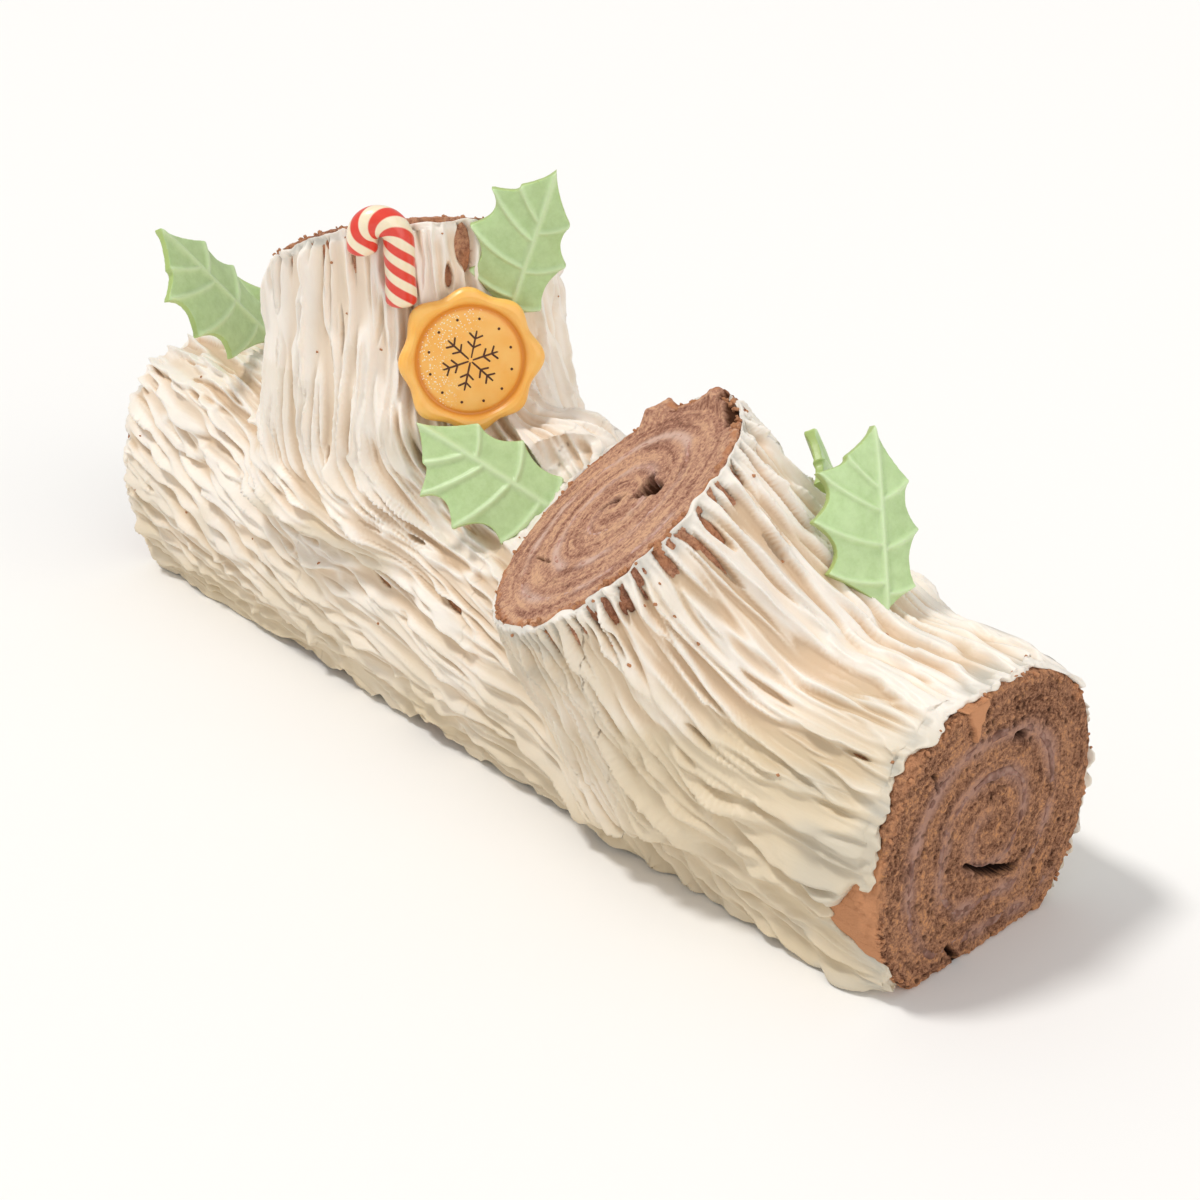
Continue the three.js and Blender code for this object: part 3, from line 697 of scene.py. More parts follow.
# A flap is where the outer layer was lifted and pushed out by the blade: its middle and spread in degrees,
# and how far it rises and stands out.
def makeBranchSponge(branch, name, tears, seed, flaps=()):
    piece = addGrid(crumbRelief["branchCells"], crumbRelief["branchCells"])
    rings, steps = crumbRelief["rings"], crumbRelief["branchSteps"]
    extrudeSteps(piece, rings + [(branch["reach"] - sum(rings)) / steps] * steps)
    t, share, height = discPlaces(piece)
    section = np.stack(branchPoint(branch, t), -1) * share[:, None]
    cap = np.abs(height) < 0.01
    roll = windingPlaces(branchSection(branch), branch, section)
    band = nearestOn(spiralLine(branchSection(branch), branch["spiralStart"]), section)
    pit, smear, crust = np.zeros(len(t)), np.zeros(len(t)), np.zeros(len(t))
    relief = np.zeros(len(t))
    relief[cap], pit[cap], smear[cap] = faceRelief(section[cap], roll[cap], band[cap], tears, seed, sawn)
    rim = smoothStep(share, 0.975, 1.0)
    relief = np.where(cap, relief * (1 - 0.5 * rim) - 0.6 * rim, 0)
    for middle, spread, rise, push in flaps:
        turned = np.mod(t - math.radians(middle) + math.pi, fullTurn) - math.pi
        there = np.exp(-(turned / math.radians(spread)) ** 4)
        lifted = there * smoothStep(share, 0.87, 0.92) * (height > -9)
        uneven = 1 + 0.35 * wander(np.column_stack([section, height]), 3, 84)
        relief += rise * lifted * uneven * (height > -0.01)
        section = section * (1 + push / branch["radius"] * lifted * smoothStep(height, -8, 0))[:, None]
    fade = 1 + height / branch["reach"]
    local = np.column_stack([section, branchSlope(branch, section[:, 0], section[:, 1]) * fade + height])
    spot = branchWorld(branch, local) + relief[:, None] * branchNormal(branch)
    crust[cap] = 0.9 * smoothStep(share[cap] + 0.05 * wander(spot[cap], 2.5, 71), 0.955, 1.0)
    side = share > 0.999
    sideRelief, sidePits = crumbHeight(spot[side], seed + 4, torn)
    across, up, _ = branchAxes(branch)
    radial = np.outer(np.cos(t[side]), across) + np.outer(np.sin(t[side]), up)
    spot[side] += radial * (sideRelief * 0.8 + 0.25)[:, None]
    pit[side] = sidePits * 0.6
    crust[side] = 0.3 + 0.5 * smoothStep(wander(spot[side], 4, 78), -0.2, 0.5)
    writePoints(piece, spot)
    writeValues(piece, pit=pit, smear=smear, crust=crust)
    writeRoll(piece, roll)
    finishPiece(piece, name + "_sponge_cut", litBranchCrumb, (name + "_sponge",))


# a winding band of cream; its cut edges are soft and wander in width
def makeFilling(name, line, toWorld, depths, seed, width, material):
    count = len(line)
    piece = addGrid(count - 1, 4)
    extrudeSteps(piece, [1.0, 1.0])
    points = readPoints(piece) * mm
    index = np.clip(np.round((points[:, 0] + 1) / 2 * (count - 1)).astype(int), 0, count - 1)
    _, aside, _ = lineFrame(line)
    spots = np.column_stack([line, np.full(count, seed)])
    uneven = 0.85 + 0.75 * wander(spots, 11, seed) + 0.5 * wander(spots, 3, seed + 1)
    half = width / 2 * np.clip(uneven, 0.12, 2)
    half *= 0.25 + 0.75 * smoothStep(np.minimum(np.arange(count), count - 1 - np.arange(count)), 0, 8)
    shift = 0.5 * wander(spots, 7, seed + 2)
    flat = line[index] + aside[index] * (points[:, 1] * half[index] + shift[index])[:, None]
    level = np.clip(np.round(-points[:, 2]).astype(int), 0, 2)
    writePoints(piece, toWorld(flat, np.array(depths)[level], level))
    turnOut(piece)
    finishPiece(piece, name + "_band", material, (name,))


# lowers the cream's cut edge into the torn gaps of a face
def tearOut(rough, flat, tears, onFace):
    for ends, width, depth in tears:
        rough = rough - gash(flat, ends, width, depth) * onFace
    return rough


# level 0 is the sawn face, level 2 the far end
def logFillingPlace(flat, depth, level):
    isTop, isBottom = level == 0, level == 2
    solid = np.column_stack([flat, np.zeros(len(flat))])
    rough = 0.35 * wander(solid, 2.2, 91) + 0.25 * wander(solid, 1.1, 92) - 0.05
    rough = tearOut(tearOut(rough, flat, nearTears, isTop), flat, farTears, isBottom)
    x = log["nearEnd"] + depth + np.where(isTop, rough, 0) - np.where(isBottom, rough, 0)
    return np.column_stack([x, flat])


def branchFillingPlace(branch, tears):
    def toWorld(flat, depth, level):
        isTop = level == 0
        solid = np.column_stack([flat, np.zeros(len(flat))])
        rough = np.where(isTop, 0.3 * wander(solid, 2.2, 93) + 0.25 * wander(solid, 1.1, 94), 0)
        rough = tearOut(rough, flat, tears, isTop)
        fade = 1 + depth / branch["reach"]
        local = np.column_stack([flat, branchSlope(branch, flat[:, 0], flat[:, 1]) * fade + depth])
        return branchWorld(branch, local) + rough[:, None] * np.array(branch["normal"])
    return toWorld


makeLogSponge()
makeBranchSponge(rear, "rear_branch", rearTears, 31)
makeBranchSponge(front, "front_branch", frontTears, 57, ((62, 17, 2.6, 1.5), (108, 8, 2.8, 4.0)))
line = spiralLine(logPoint, log["spiralStart"], count=spiral["points"])
makeFilling("log_filling", line, logFillingPlace, (0, -logLength / 2, -logLength), 5, 1.9, shadedCream)
for branch, name, tears in ((rear, "rear_branch", rearTears), (front, "front_branch", frontTears)):
    line = spiralLine(branchSection(branch), branch["spiralStart"], count=spiral["points"])
    makeFilling(name + "_filling", line, branchFillingPlace(branch, tears),
                (0, -branch["reach"] / 2, -branch["reach"] + 1), 6, 0.9, litCream)
print("sponge ready")


# Loose crumbs: bits torn off by the knife, lying along the sawn rims.
crumbs = dict(size=(0.35, 1.1), rims=((front, 170), (rear, 120)), nearRim=90,
              flecks=110, fleckSize=(0.3, 0.75))


# one small rough cube is the mould of all; each copy gets its own size and turn
def makeCrumbs(spots, sizes, name, draw):
    deselectAll()
    bpy.ops.mesh.primitive_cube_add(size=1)
    mould = bpy.context.object
    openAll(mould)
    bpy.ops.mesh.subdivide(number_cuts=2, smoothness=0.7)
    closeEdit()
    shape = readPoints(mould) * mm
    shape *= 1 + 0.5 * wander(shape, 0.35, 12)[:, None]
    bits = []
    for spot in spots:
        bit = copyPiece(mould)
        turned = np.array(Vector(draw.normal(size=3)).normalized().to_track_quat("Z", "Y").to_matrix())
        writePoints(bit, (shape * draw.uniform(*sizes) * [1, 1.3, 0.8]) @ turned + spot)
        bits.append(bit)
    bpy.data.objects.remove(mould)
    joined = joinPieces(bits)
    writeValues(joined, pit=0, smear=0, crust=1.0)
    finishPiece(joined, name, shadedLogCrumb)


crumbSpots = []
for branch, count in crumbs["rims"]:
    for _ in range(count):
        angle = rng.uniform(0, fullTurn)
        x, y = branchPoint(branch, angle, rng.normal(-1.0, 0.6))
        along = branchSlope(branch, x, y) + rng.uniform(-0.9, 0.2)
        crumbSpots.append(branchWorld(branch, np.array([x, y, along])))
for _ in range(crumbs["nearRim"]):
    angle = rng.uniform(-2.6, 3.6)
    y, z = logPoint(angle, rng.normal(-0.8, 0.8))
    crumbSpots.append(np.array([log["nearEnd"] - rng.uniform(0, 0.9), float(y), max(float(z), 1.2)]))
makeCrumbs(crumbSpots, crumbs["size"], "loose_crumbs", rng)
print("crumbs ready")


# Buttercream: a smooth coat first, then a height for each of its points, painted pull by pull of the knife.
cream = dict(
    rough=2.6, voxel=0.56,  # cells of the first form and of the coat itself
    coat=3.5, branchCoat=3.6, boardGap=0.6,  # thickness on the log and on the branches, and gap to the board
    skirt=2.6, flare=24, heap=12,  # how much more low on the log, at a branch's foot and by the far end
    floor=-3.1, rimDeeper=1.7, deepest=-4.8, crest=3.6,  # how low and how high the strokes may go
    droop=0.6, behind=50,  # how far a crest leans over, and how far the back may reach
    cuts=(-66, 26, 106), lap=0.2, triangles=190000)  # where the mesh is cut, and the most each length holds
sealDab = dict(at=(-1.8, -18.7, 126), heading=-30, lean=9, rings=((0, 11), (-2, 15), (-7, 18), (-16, 21)))
heaps = (((18, 1, 94), (27, 22, 14)), ((-20, -36, 104), (13, 8, 11)))  # drawn up beside the stump
patch = dict(along=199, up=24, long=19, tall=12)  # scraped bare, just behind the near face
logRadius = 44  # rough, for distances from the sponge
capFacing = 0.8  # how squarely a surface must face outwards to count as sawn


def aroundOnce(count):
    return fullTurn * np.arange(count) / count


# closed tube through rings of points: a cylinder whose rings are then put in place
def ringLoft(rings, name):
    around = len(rings[0])
    deselectAll()
    bpy.ops.mesh.primitive_cylinder_add(vertices=around, radius=1, depth=1, end_fill_type="NGON")
    piece = bpy.context.object
    makeActive(piece)
    bpy.ops.object.mode_set(mode="EDIT")
    bpy.ops.mesh.select_mode(type="FACE")
    bpy.ops.mesh.select_all(action="DESELECT")
    closeEdit()
    for face in piece.data.polygons:
        face.select = face.normal.z > 0.9
    bpy.ops.object.mode_set(mode="EDIT")
    for _ in rings[2:]:
        bpy.ops.mesh.extrude_region_move(TRANSFORM_OT_translate={"value": (0, 0, 1)})
    closeEdit()
    points = readPoints(piece) * mm
    level = np.round(points[:, 2] + 0.5).astype(int)
    step = np.round(np.arctan2(points[:, 1], points[:, 0]) / fullTurn * around).astype(int) % around
    writePoints(piece, np.array(rings)[level, step])
    turnOut(piece)
    piece.name = name
    return piece


def logRings(lift, ends, around=96, count=2, skirt=0.0, heap=0.0):
    t = aroundOnce(around)
    rings = []
    for x in np.linspace(ends[0], ends[1], count):
        low = 1 - smoothStep(logPoint(t)[1], 0, 16)
        s = x - log["farEnd"]
        rise = smoothStep(s, -30, 40) * (1 - smoothStep(s, 62, 110))
        top = heap * rise * smoothStep(np.sin(t), 0.3, 0.9)
        y, z = logPoint(t, lift + skirt * low + top)
        rings.append(np.column_stack([np.full(around, x), y, z]))
    return rings


# levels: (distance along the axis, share of the sawn face's slant), from low to high
def branchRings(branch, lift, levels, around=96, flare=0.0):
    t = aroundOnce(around)
    rings = []
    for offset, slant in levels:
        down = np.clip(-offset / branch["reach"], 0, 1)
        x, y = branchPoint(branch, t, lift + flare * down ** 2.2 * (0.35 + 0.65 * np.cos(t) ** 2))
        rings.append(branchWorld(branch, np.column_stack([x, y, branchSlope(branch, x, y) * slant + offset])))
    return rings


def boolean(piece, other, operation):
    applyModifier(piece, "BOOLEAN", object=other, operation=operation, solver="MANIFOLD")
    bpy.data.objects.remove(other)


# cuts the piece square at x and closes it; outward +1 keeps what lies below x, -1 what lies above
def bisectAt(piece, x, outward):
    openAll(piece)
    bpy.ops.mesh.bisect(plane_co=(x * mm, 0, 0), plane_no=(outward, 0, 0), use_fill=True, clear_outer=True)
    bpy.ops.mesh.mark_sharp()
    closeEdit()


def unitRows(v):
    return v / np.maximum(np.linalg.norm(v, axis=1), 1e-9)[:, None]


# rough distance of each point outside the sponge of the log, and outside that of a branch
def logLift(points):
    e = log["squareness"]
    half = np.where(points[:, 2] > log["centreHeight"], log["above"], log["below"])
    wide = np.abs(points[:, 1] / log["halfWidth"])
    tall = np.abs((points[:, 2] - log["centreHeight"]) / half)
    return ((wide ** e + tall ** e) ** (1 / e) - 1) * logRadius


def branchLift(branch, points):
    across, up, _ = branchAxes(branch)
    offset = points - np.array(branch["centre"])
    return np.hypot(offset @ across, offset @ up) - branch["radius"]


def allLifts(points):
    return np.stack([logLift(points), branchLift(rear, points), branchLift(front, points)], -1)


# The coat without strokes: log and branches run together, with the cream drawn out wide at each foot.
coat = ringLoft(logRings(cream["coat"], (log["farEnd"] - 10, log["nearEnd"] + 10), count=40,
                         skirt=cream["skirt"], heap=cream["heap"]), "coat")
for branch in (rear, front):
    levels = [(-branch["reach"] * (1 - k / 12), k / 12) for k in range(13)]
    levels = [(-branch["reach"] - 5, 0), *levels, (10, 1)]
    rings = branchRings(branch, cream["branchCoat"], levels, flare=cream["flare"])
    boolean(coat, ringLoft(rings, "stump"), "UNION")
axes, at = standing(sealDab)
t = aroundOnce(48)
rings = [np.column_stack([r * np.cos(t), r * np.sin(t), np.full(48, float(depth))]) @ axes + at
         for depth, r in reversed(sealDab["rings"])]
boolean(coat, ringLoft(rings, "dab"), "UNION")
for place, radii in heaps:
    deselectAll()
    bpy.ops.mesh.primitive_ico_sphere_add(subdivisions=3, radius=1)
    lump = bpy.context.object
    writePoints(lump, readPoints(lump) * mm * radii + place)
    boolean(coat, lump, "UNION")
applyModifier(coat, "REMESH", mode="VOXEL", voxel_size=cream["rough"] * mm)
base = readPoints(coat)
ordered = np.sort(allLifts(base), axis=1)
seam = np.exp(-((ordered[:, 1] - 6) / 20) ** 2) * smoothStep(base[:, 2], 18, 34)
for place, radii in heaps:
    reach = np.linalg.norm((base - place) / np.array(radii), axis=1)
    seam = np.maximum(seam, 0.7 * np.exp(-(reach / 1.5) ** 4))
group = coat.vertex_groups.new(name="seam")
grades = 8
for level in range(1, grades + 1):
    chosen = np.nonzero(np.round(seam * grades).astype(int) == level)[0]
    group.add(chosen.tolist(), level / grades, "REPLACE")
applyModifier(coat, "SMOOTH", factor=0.6, iterations=32, vertex_group="seam")
applyModifier(coat, "SUBSURF", levels=1, render_levels=1)
for branch in (rear, front):
    boolean(coat, ringLoft(branchRings(branch, 14, [(0.3, 1), (60, 1)]), "saw"), "DIFFERENCE")
bisectAt(coat, log["nearEnd"] + 0.2, 1)
bisectAt(coat, log["farEnd"] - 0.5, -1)
applyModifier(coat, "REMESH", mode="VOXEL", voxel_size=cream["voxel"] * mm)
applyModifier(coat, "SMOOTH", factor=0.5, iterations=3)
base = readPoints(coat)
normals = readNormals(coat)
lifts = allLifts(base)
print("coat base", len(base), "points")

# Drag direction: along the log, dipping a little on its sides, and down each branch, one turning into
# the other.
weights = np.exp(-np.maximum(lifts - 4, 0) / 8)
weights[:, 1] *= smoothStep(base[:, 2], 76, 124)
onRear = smoothStep(base[:, 2], 96, 128) * (weights[:, 1] > 0)
weights[:, 0] *= 1 - 0.9 * np.maximum(onRear, weights[:, 2] * 0.9)
dip = 0.06 + 0.22 * smoothStep(-base[:, 0], -70, 40) * smoothStep(base[:, 2], 4, 40)
onLog = np.column_stack([np.ones(len(base)), np.sign(base[:, 1]) * 0.2 * dip, -dip])
direction = weights[:, :1] * onLog - weights[:, 1:2] * branchAxes(rear)[2]
direction = direction - weights[:, 2:] * branchAxes(front)[2]
direction = unitRows(direction - normals * np.sum(direction * normals, axis=1)[:, None])
turnBy = 0.17 * wander(base, 45, 3) + 0.09 * wander(base, 20, 4)
turned = direction * np.cos(turnBy)[:, None] + np.cross(normals, direction) * np.sin(turnBy)[:, None]
direction = unitRows(turned)
crosswise = np.cross(normals, direction)
upright = np.clip(weights[:, 1] + weights[:, 2], 0, 1)
onStump = np.clip(weights[:, 1], 0, 1)

# Sawn faces, ends and underside carry no strokes.
onCap = np.zeros(len(base), bool)
for branch in (rear, front):
    onFace = (normals @ branchNormal(branch) > capFacing) & (np.abs(faceDistance(branch, base)) < 2)
    onCap |= onFace & (branchLift(branch, base) < 8)
pastEnds = (base[:, 0] > log["nearEnd"] - 2) | (base[:, 0] < log["farEnd"] + 2)
onCap |= (np.abs(normals[:, 0]) > capFacing) & pastEnds
onCap |= (normals[:, 2] < -capFacing) & (base[:, 2] < 3)


def treeOf(points):
    tree = kdtree.KDTree(len(points))
    for i, p in enumerate(points):
        tree.insert(p, i)
    tree.balance()
    return tree


# The surface points are sorted into cells, so that those round a path are found quickly.
tree = treeOf(base)
cellSize = 6.0
origin = base.min(0) - cellSize * 3
cellOf = np.floor((base - origin) / cellSize).astype(int)
cellCounts = cellOf.max(0) + 4


def cellCodes(cells):
    return (cells[:, 0] * cellCounts[1] + cells[:, 1]) * cellCounts[2] + cells[:, 2]


codeOf = cellCodes(cellOf)
order = np.argsort(codeOf, kind="stable")
codes, starts = np.unique(codeOf[order], return_index=True)
ends = np.append(starts[1:], len(order))
cellPoints = {int(code): order[a:b] for code, a, b in zip(codes, starts, ends)}


# numbers of the surface points in the cells round a path
def pointsAround(path, reach):
    span = int(math.ceil(reach / cellSize))
    cells = np.unique(np.floor((path - origin) / cellSize).astype(int), axis=0)
    shifts = np.stack(np.meshgrid(*[np.arange(-span, span + 1)] * 3, indexing="ij"), -1).reshape(-1, 3)
    found = np.unique(cellCodes((cells[:, None] + shifts).reshape(-1, 3)))
    parts = [cellPoints[code] for code in found.tolist() if code in cellPoints]
    return np.concatenate(parts) if parts else np.zeros(0, int)


# follows the drag direction over the surface, half the length each way
def tracePath(start, length, skew=0.0, step=2.4):
    halves = []
    for sign in (-1, 1):
        index, way = start, []
        for _ in range(int(length / 2 / step)):
            heading = (direction[index] * math.cos(skew) + crosswise[index] * math.sin(skew)) * sign
            _, index, _ = tree.find(base[index] + heading * step)
            if onCap[index]:
                break
            way.append(index)
        halves.append(way)
    return np.array(halves[0][::-1] + [start] + halves[1])


def evenOut(path):
    for _ in range(6):
        path[1:-1] = (path[:-2] + 2 * path[1:-1] + path[2:]) / 4


def resampled(places, stops, rows):
    return np.column_stack([np.interp(places, stops, rows[:, k]) for k in range(3)])


# the surface points near a path, how far along it and to its side they lie, its length and its lower side
def strokeArea(indices, reach):
    path, outs = base[indices].copy(), normals[indices]
    evenOut(path)
    steps, finer = np.arange(len(path)), np.linspace(0, len(path) - 1, 3 * len(path) - 2)
    path, outs = (resampled(finer, steps, rows) for rows in (path, outs))
    evenOut(path)
    ahead = unitRows(np.gradient(path, axis=0))
    aside = unitRows(np.cross(outs, ahead))
    near = pointsAround(path, reach)
    gap = base[near][:, None, :] - path[None]
    closest = np.argmin(np.einsum("ijk,ijk->ij", gap, gap), axis=1)
    offset = gap[np.arange(len(near)), closest]
    keep = np.sum(offset * offset, axis=1) < (reach + 1.6) ** 2
    keep &= np.sum(normals[near] * outs[closest], axis=1) > 0.1
    near, offset, closest = near[keep], offset[keep], closest[keep]
    lengths = lengthsAlong(path)
    along = lengths[closest] + np.sum(offset * ahead[closest], axis=1)
    beside = np.sum(offset * aside[closest], axis=1)
    return near, along, beside, lengths[-1], -1 if aside[:, 2].mean() > 0 else 1


# How a pull comes out: how far it strays from the drag direction, how its sides and middle sway, how much it
# keeps of what lies there, and how wide and sharp the lip is that it throws up.
blade = dict(strays=0.09, sides=0.13, middle=0.09, keeps=0.35, uneven=0.55, ripple=0.05, ripples=(1.8, 3.2),
             lipWidth=0.7, upperLip=0.6, undercut=0.75, undercutAt=1.35, curlWidth=1.4, curlHollow=2.4)
rake = dict(strays=0.05, step=1.8, sides=0.15, middle=0.3, lipAt=0.25, lipWidth=0.45, upperLip=0.5)


# a slow sway along a stroke
def waver(x, longest):
    slow = np.sin(x * 2 * math.pi / longest + rng.uniform(0, 6))
    return (slow + 0.5 * np.sin(x * 5 * math.pi / longest + rng.uniform(0, 6))) / 1.5


# one pull of the knife: a dished face, tilted like a clapboard, with a thin lip thrown up on each side
def pullKnife(start, width, length, dish, lip, tilt, curl=0.0):
    indices = tracePath(start, length, rng.normal(0, blade["strays"]))
    if len(indices) < 6:
        return
    near, along, beside, total, lower = strokeArea(indices, width / 2 + 2.4)
    if len(near) < 20:
        return
    lead = smoothStep(along, -0.5, 4 if curl else 10)
    tail = smoothStep(total - along, -0.6, width * 0.9)
    half = width / 2 * lead ** 0.6 * np.sqrt(tail) * (1 + blade["sides"] * waver(along, 38)) + 0.01
    beside = beside + blade["middle"] * width * waver(along, 55)
    edge = np.abs(beside) - half
    across = np.clip(beside / half, -1, 1) * lower  # +1 on the lower side
    inside = (edge < 0) & (along > -0.5) & (along < total + 0.5)
    if inside.sum() < 20:
        return
    cover[near[inside]] += 1
    level = blade["keeps"] * height[near][inside].mean() + rng.normal(0, blade["uneven"])
    face = level + tilt * across - dish * (1 - across ** 2) + 0.12 * dish * waver(along, 33)
    ripples = fullTurn * beside / rng.uniform(*blade["ripples"])
    face += blade["ripple"] * np.sin(ripples + 0.7 * waver(along, 60))
    if curl:
        arch = along - 3 - 0.06 * beside ** 2
        roll = curl * np.exp(-(arch / blade["curlWidth"]) ** 2)
        face += roll - 0.9 * curl * np.exp(-((arch - 4.2) / blade["curlHollow"]) ** 2)
    crest = lip * np.where(across > 0, 1.0, blade["upperLip"]) * (0.8 + 0.3 * waver(along, 34))
    crest = crest * np.exp(-(edge / blade["lipWidth"]) ** 2)
    hollow = np.exp(-((edge - blade["undercutAt"]) / blade["lipWidth"]) ** 2)
    crest -= blade["undercut"] * lip * (across > 0) * hollow
    crest *= smoothStep(along, 0, 6) * smoothStep(total - along, -0.5, 3)
    blend = smoothStep(-edge, -0.2, 0.8) * smoothStep(along, -0.5, 1.5 if curl else 7)
    blend = np.where(inside, blend * smoothStep(total - along, -0.5, 1.2), 0)
    height[near] = height[near] * (1 - blend) + face * blend + np.where(edge < 2.2, crest, 0)


# a narrow furrow drawn into what lies there, its ends pointed or, from a sawn edge, open at one end
def rakeGroove(start, width, length, depth, lip, openAt=None):
    indices = tracePath(start, length, rng.normal(0, rake["strays"]), step=rake["step"])
    if len(indices) < 4:
        return
    near, along, beside, total, lower = strokeArea(indices, width / 2 + 1.4)
    if len(near) < 6:
        return
    share = np.clip(along / total, 0, 1)
    share = {"start": 0.5 + 0.5 * share, "end": 0.5 * share, None: share}[openAt]
    lens = np.clip(np.sin(math.pi * share), 0, 1) ** 0.6
    half = width / 2 * np.maximum(lens, 0.12) * (1 + rake["sides"] * waver(along, 23))
    beside = beside + rake["middle"] * waver(along, 34)
    across = np.clip(beside / half, -1, 1)
    trough = (1 - across ** 2) ** 0.7 * lens * (along > -1) * (along < total + 1)
    lipShape = np.exp(-((np.abs(beside) - half - rake["lipAt"]) / rake["lipWidth"]) ** 2)
    crest = lip * lens * lipShape * np.where(across * lower > 0, 1, rake["upperLip"])
    height[near] += np.where(np.abs(beside) < half + 1.3, crest, 0) - depth * trough


# a torn peak where the knife lifted off
def tearPeak(start, rise, size):
    near = pointsAround(base[start][None], size * 1.5)
    offset = base[near] - base[start]
    ahead, out = direction[start], normals[start]
    along, beside = offset @ ahead, offset @ np.cross(out, ahead)
    fall = -(np.maximum(-along, 0) / size) ** 2 - (np.maximum(along, 0) / (0.35 * size)) ** 2
    bump = np.exp(fall - (beside / (0.5 * size)) ** 2)
    height[near] += rise * bump * (np.abs(offset @ out) < 3)


height = 0.6 * wander(base, 24, 7) + 0.3 * wander(base, 9, 8)
cover = np.zeros(len(base))  # how often each point has been pulled over
free = np.nonzero(~onCap)[0]
aheadOf, behindOf = (np.array([tree.find(p)[1] for p in base + direction * step])
                     for step in (1.7, -1.7))


# evens the cream out along the pulls, so that their crests stay crisp
def drawOut(values, passes):
    for _ in range(passes):
        values = 0.5 * values + 0.25 * values[aheadOf] + 0.25 * values[behindOf]
    return values


def somewhere(bare=False):
    picks = free[rng.integers(len(free), size=30 if bare else 1)]
    return int(picks[np.argmin(cover[picks])])


# one number from each range, in turn
def drawn(ranges):
    return {name: rng.uniform(*limits) for name, limits in ranges.items()}


# Broad pulls, then narrower ones over them, until each point is covered so many times over; some curl up.
layers = (
    dict(coverage=1.2, curled=0.1, pull=dict(
        width=(9, 15), length=(60, 150), dish=(0.9, 1.8), lip=(1.0, 2.0), tilt=(1.0, 2.2))),
    dict(coverage=1.3, curled=0.18, pull=dict(
        width=(5, 9.5), length=(40, 115), dish=(1.4, 2.7), lip=(1.6, 2.8), tilt=(0.8, 2.2))))
curlRise = (1.0, 2.2)
finePull = dict(width=(2.8, 4.8), length=(22, 70), dish=(0.7, 1.3), lip=(0.8, 1.7), tilt=(0.2, 1.0))
furrow = dict(width=(0.9, 1.9), length=(14, 55), depth=(0.8, 2.0), lip=(0.4, 0.9))
nick = dict(width=(1.1, 2.3), length=(7, 24), depth=(1.2, 3.6), lip=(0.3, 0.9))
peak = dict(rise=(0.9, 2.5), size=(1.8, 4.2))
strokeCounts = dict(finePulls=260, furrows=330, nicks=150, peaks=130)
for layer in layers:
    cover[:] = 0
    while cover[free].mean() < layer["coverage"]:
        for _ in range(12):
            start = somewhere(bare=True)
            pull = drawn(layer["pull"])
            pull["width"] *= 1 + 0.8 * onStump[start]
            pullKnife(start, curl=rng.uniform(*curlRise) if rng.random() < layer["curled"] else 0.0, **pull)
height = drawOut(height, 2)
for start in [somewhere() for _ in range(strokeCounts["finePulls"])]:
    if onStump[start] < rng.random() * 1.4:
        pullKnife(start, **drawn(finePull))
for start in [somewhere() for _ in range(strokeCounts["furrows"])]:
    if onStump[start] < rng.random() * 1.6:
        rakeGroove(start, **drawn(furrow))
height = drawOut(height, 2)
print("strokes painted")

# Each sawn edge shows the ends of the pulls as a row of ribs with furrows between them, so many mm apart.
rims = ((rear, 6.5, dict(width=(1.6, 3.2), length=(20, 80), depth=(1.0, 3.2), lip=(0.3, 0.8))),
        (front, 3.3, dict(width=(1.2, 2.1), length=(14, 52), depth=(2.2, 4.6), lip=(0.3, 0.8))))
endRib = dict(width=(1.2, 2.6), length=(16, 80), depth=(0.4, 1.2), lip=(0.2, 0.6))
for branch, pitch, ribRanges in rims:
    angle = 0.0
    while angle < fullTurn:
        x, y = branchPoint(branch, angle, cream["branchCoat"])
        rimSpot = branchWorld(branch, np.array([x, y, branchSlope(branch, x, y) - 1.4]))
        _, index, _ = tree.find(rimSpot)
        wide = smoothStep(rimSpot[0], 98, 124) if branch is front else 0  # they broaden on the right side
        if not onCap[index]:
            rib = drawn(ribRanges)
            rib["width"] *= 1 + 0.5 * wide
            rib["length"] *= 1 + wide
            rakeGroove(index, **rib, openAt="start")
        angle += pitch * (1 + 0.9 * wide) * rng.uniform(0.75, 1.4) / branch["radius"]
angle = 0.0
while angle < fullTurn:
    y, z = logPoint(angle, cream["coat"])
    for x, openAt in ((log["nearEnd"] - 1.6, "end"), (log["farEnd"] + 1.6, "start")):
        _, index, _ = tree.find((x, float(y), float(z)))
        if z > 8 and not onCap[index]:
            rakeGroove(index, **drawn(endRib), openAt=openAt)
    angle += rng.uniform(6, 11) / 46
height = drawOut(height, 1)
for _ in range(strokeCounts["nicks"]):
    rakeGroove(somewhere(), **drawn(nick))
for _ in range(strokeCounts["peaks"]):
    tearPeak(somewhere(), **drawn(peak))
nearRim = np.maximum(faceDistance(front, base) + 16 - branchLift(front, base),
                     faceDistance(rear, base) + 12 - branchLift(rear, base))
height = np.maximum(height, cream["floor"] - cream["rimDeeper"] * smoothStep(nearRim, 0, 5))
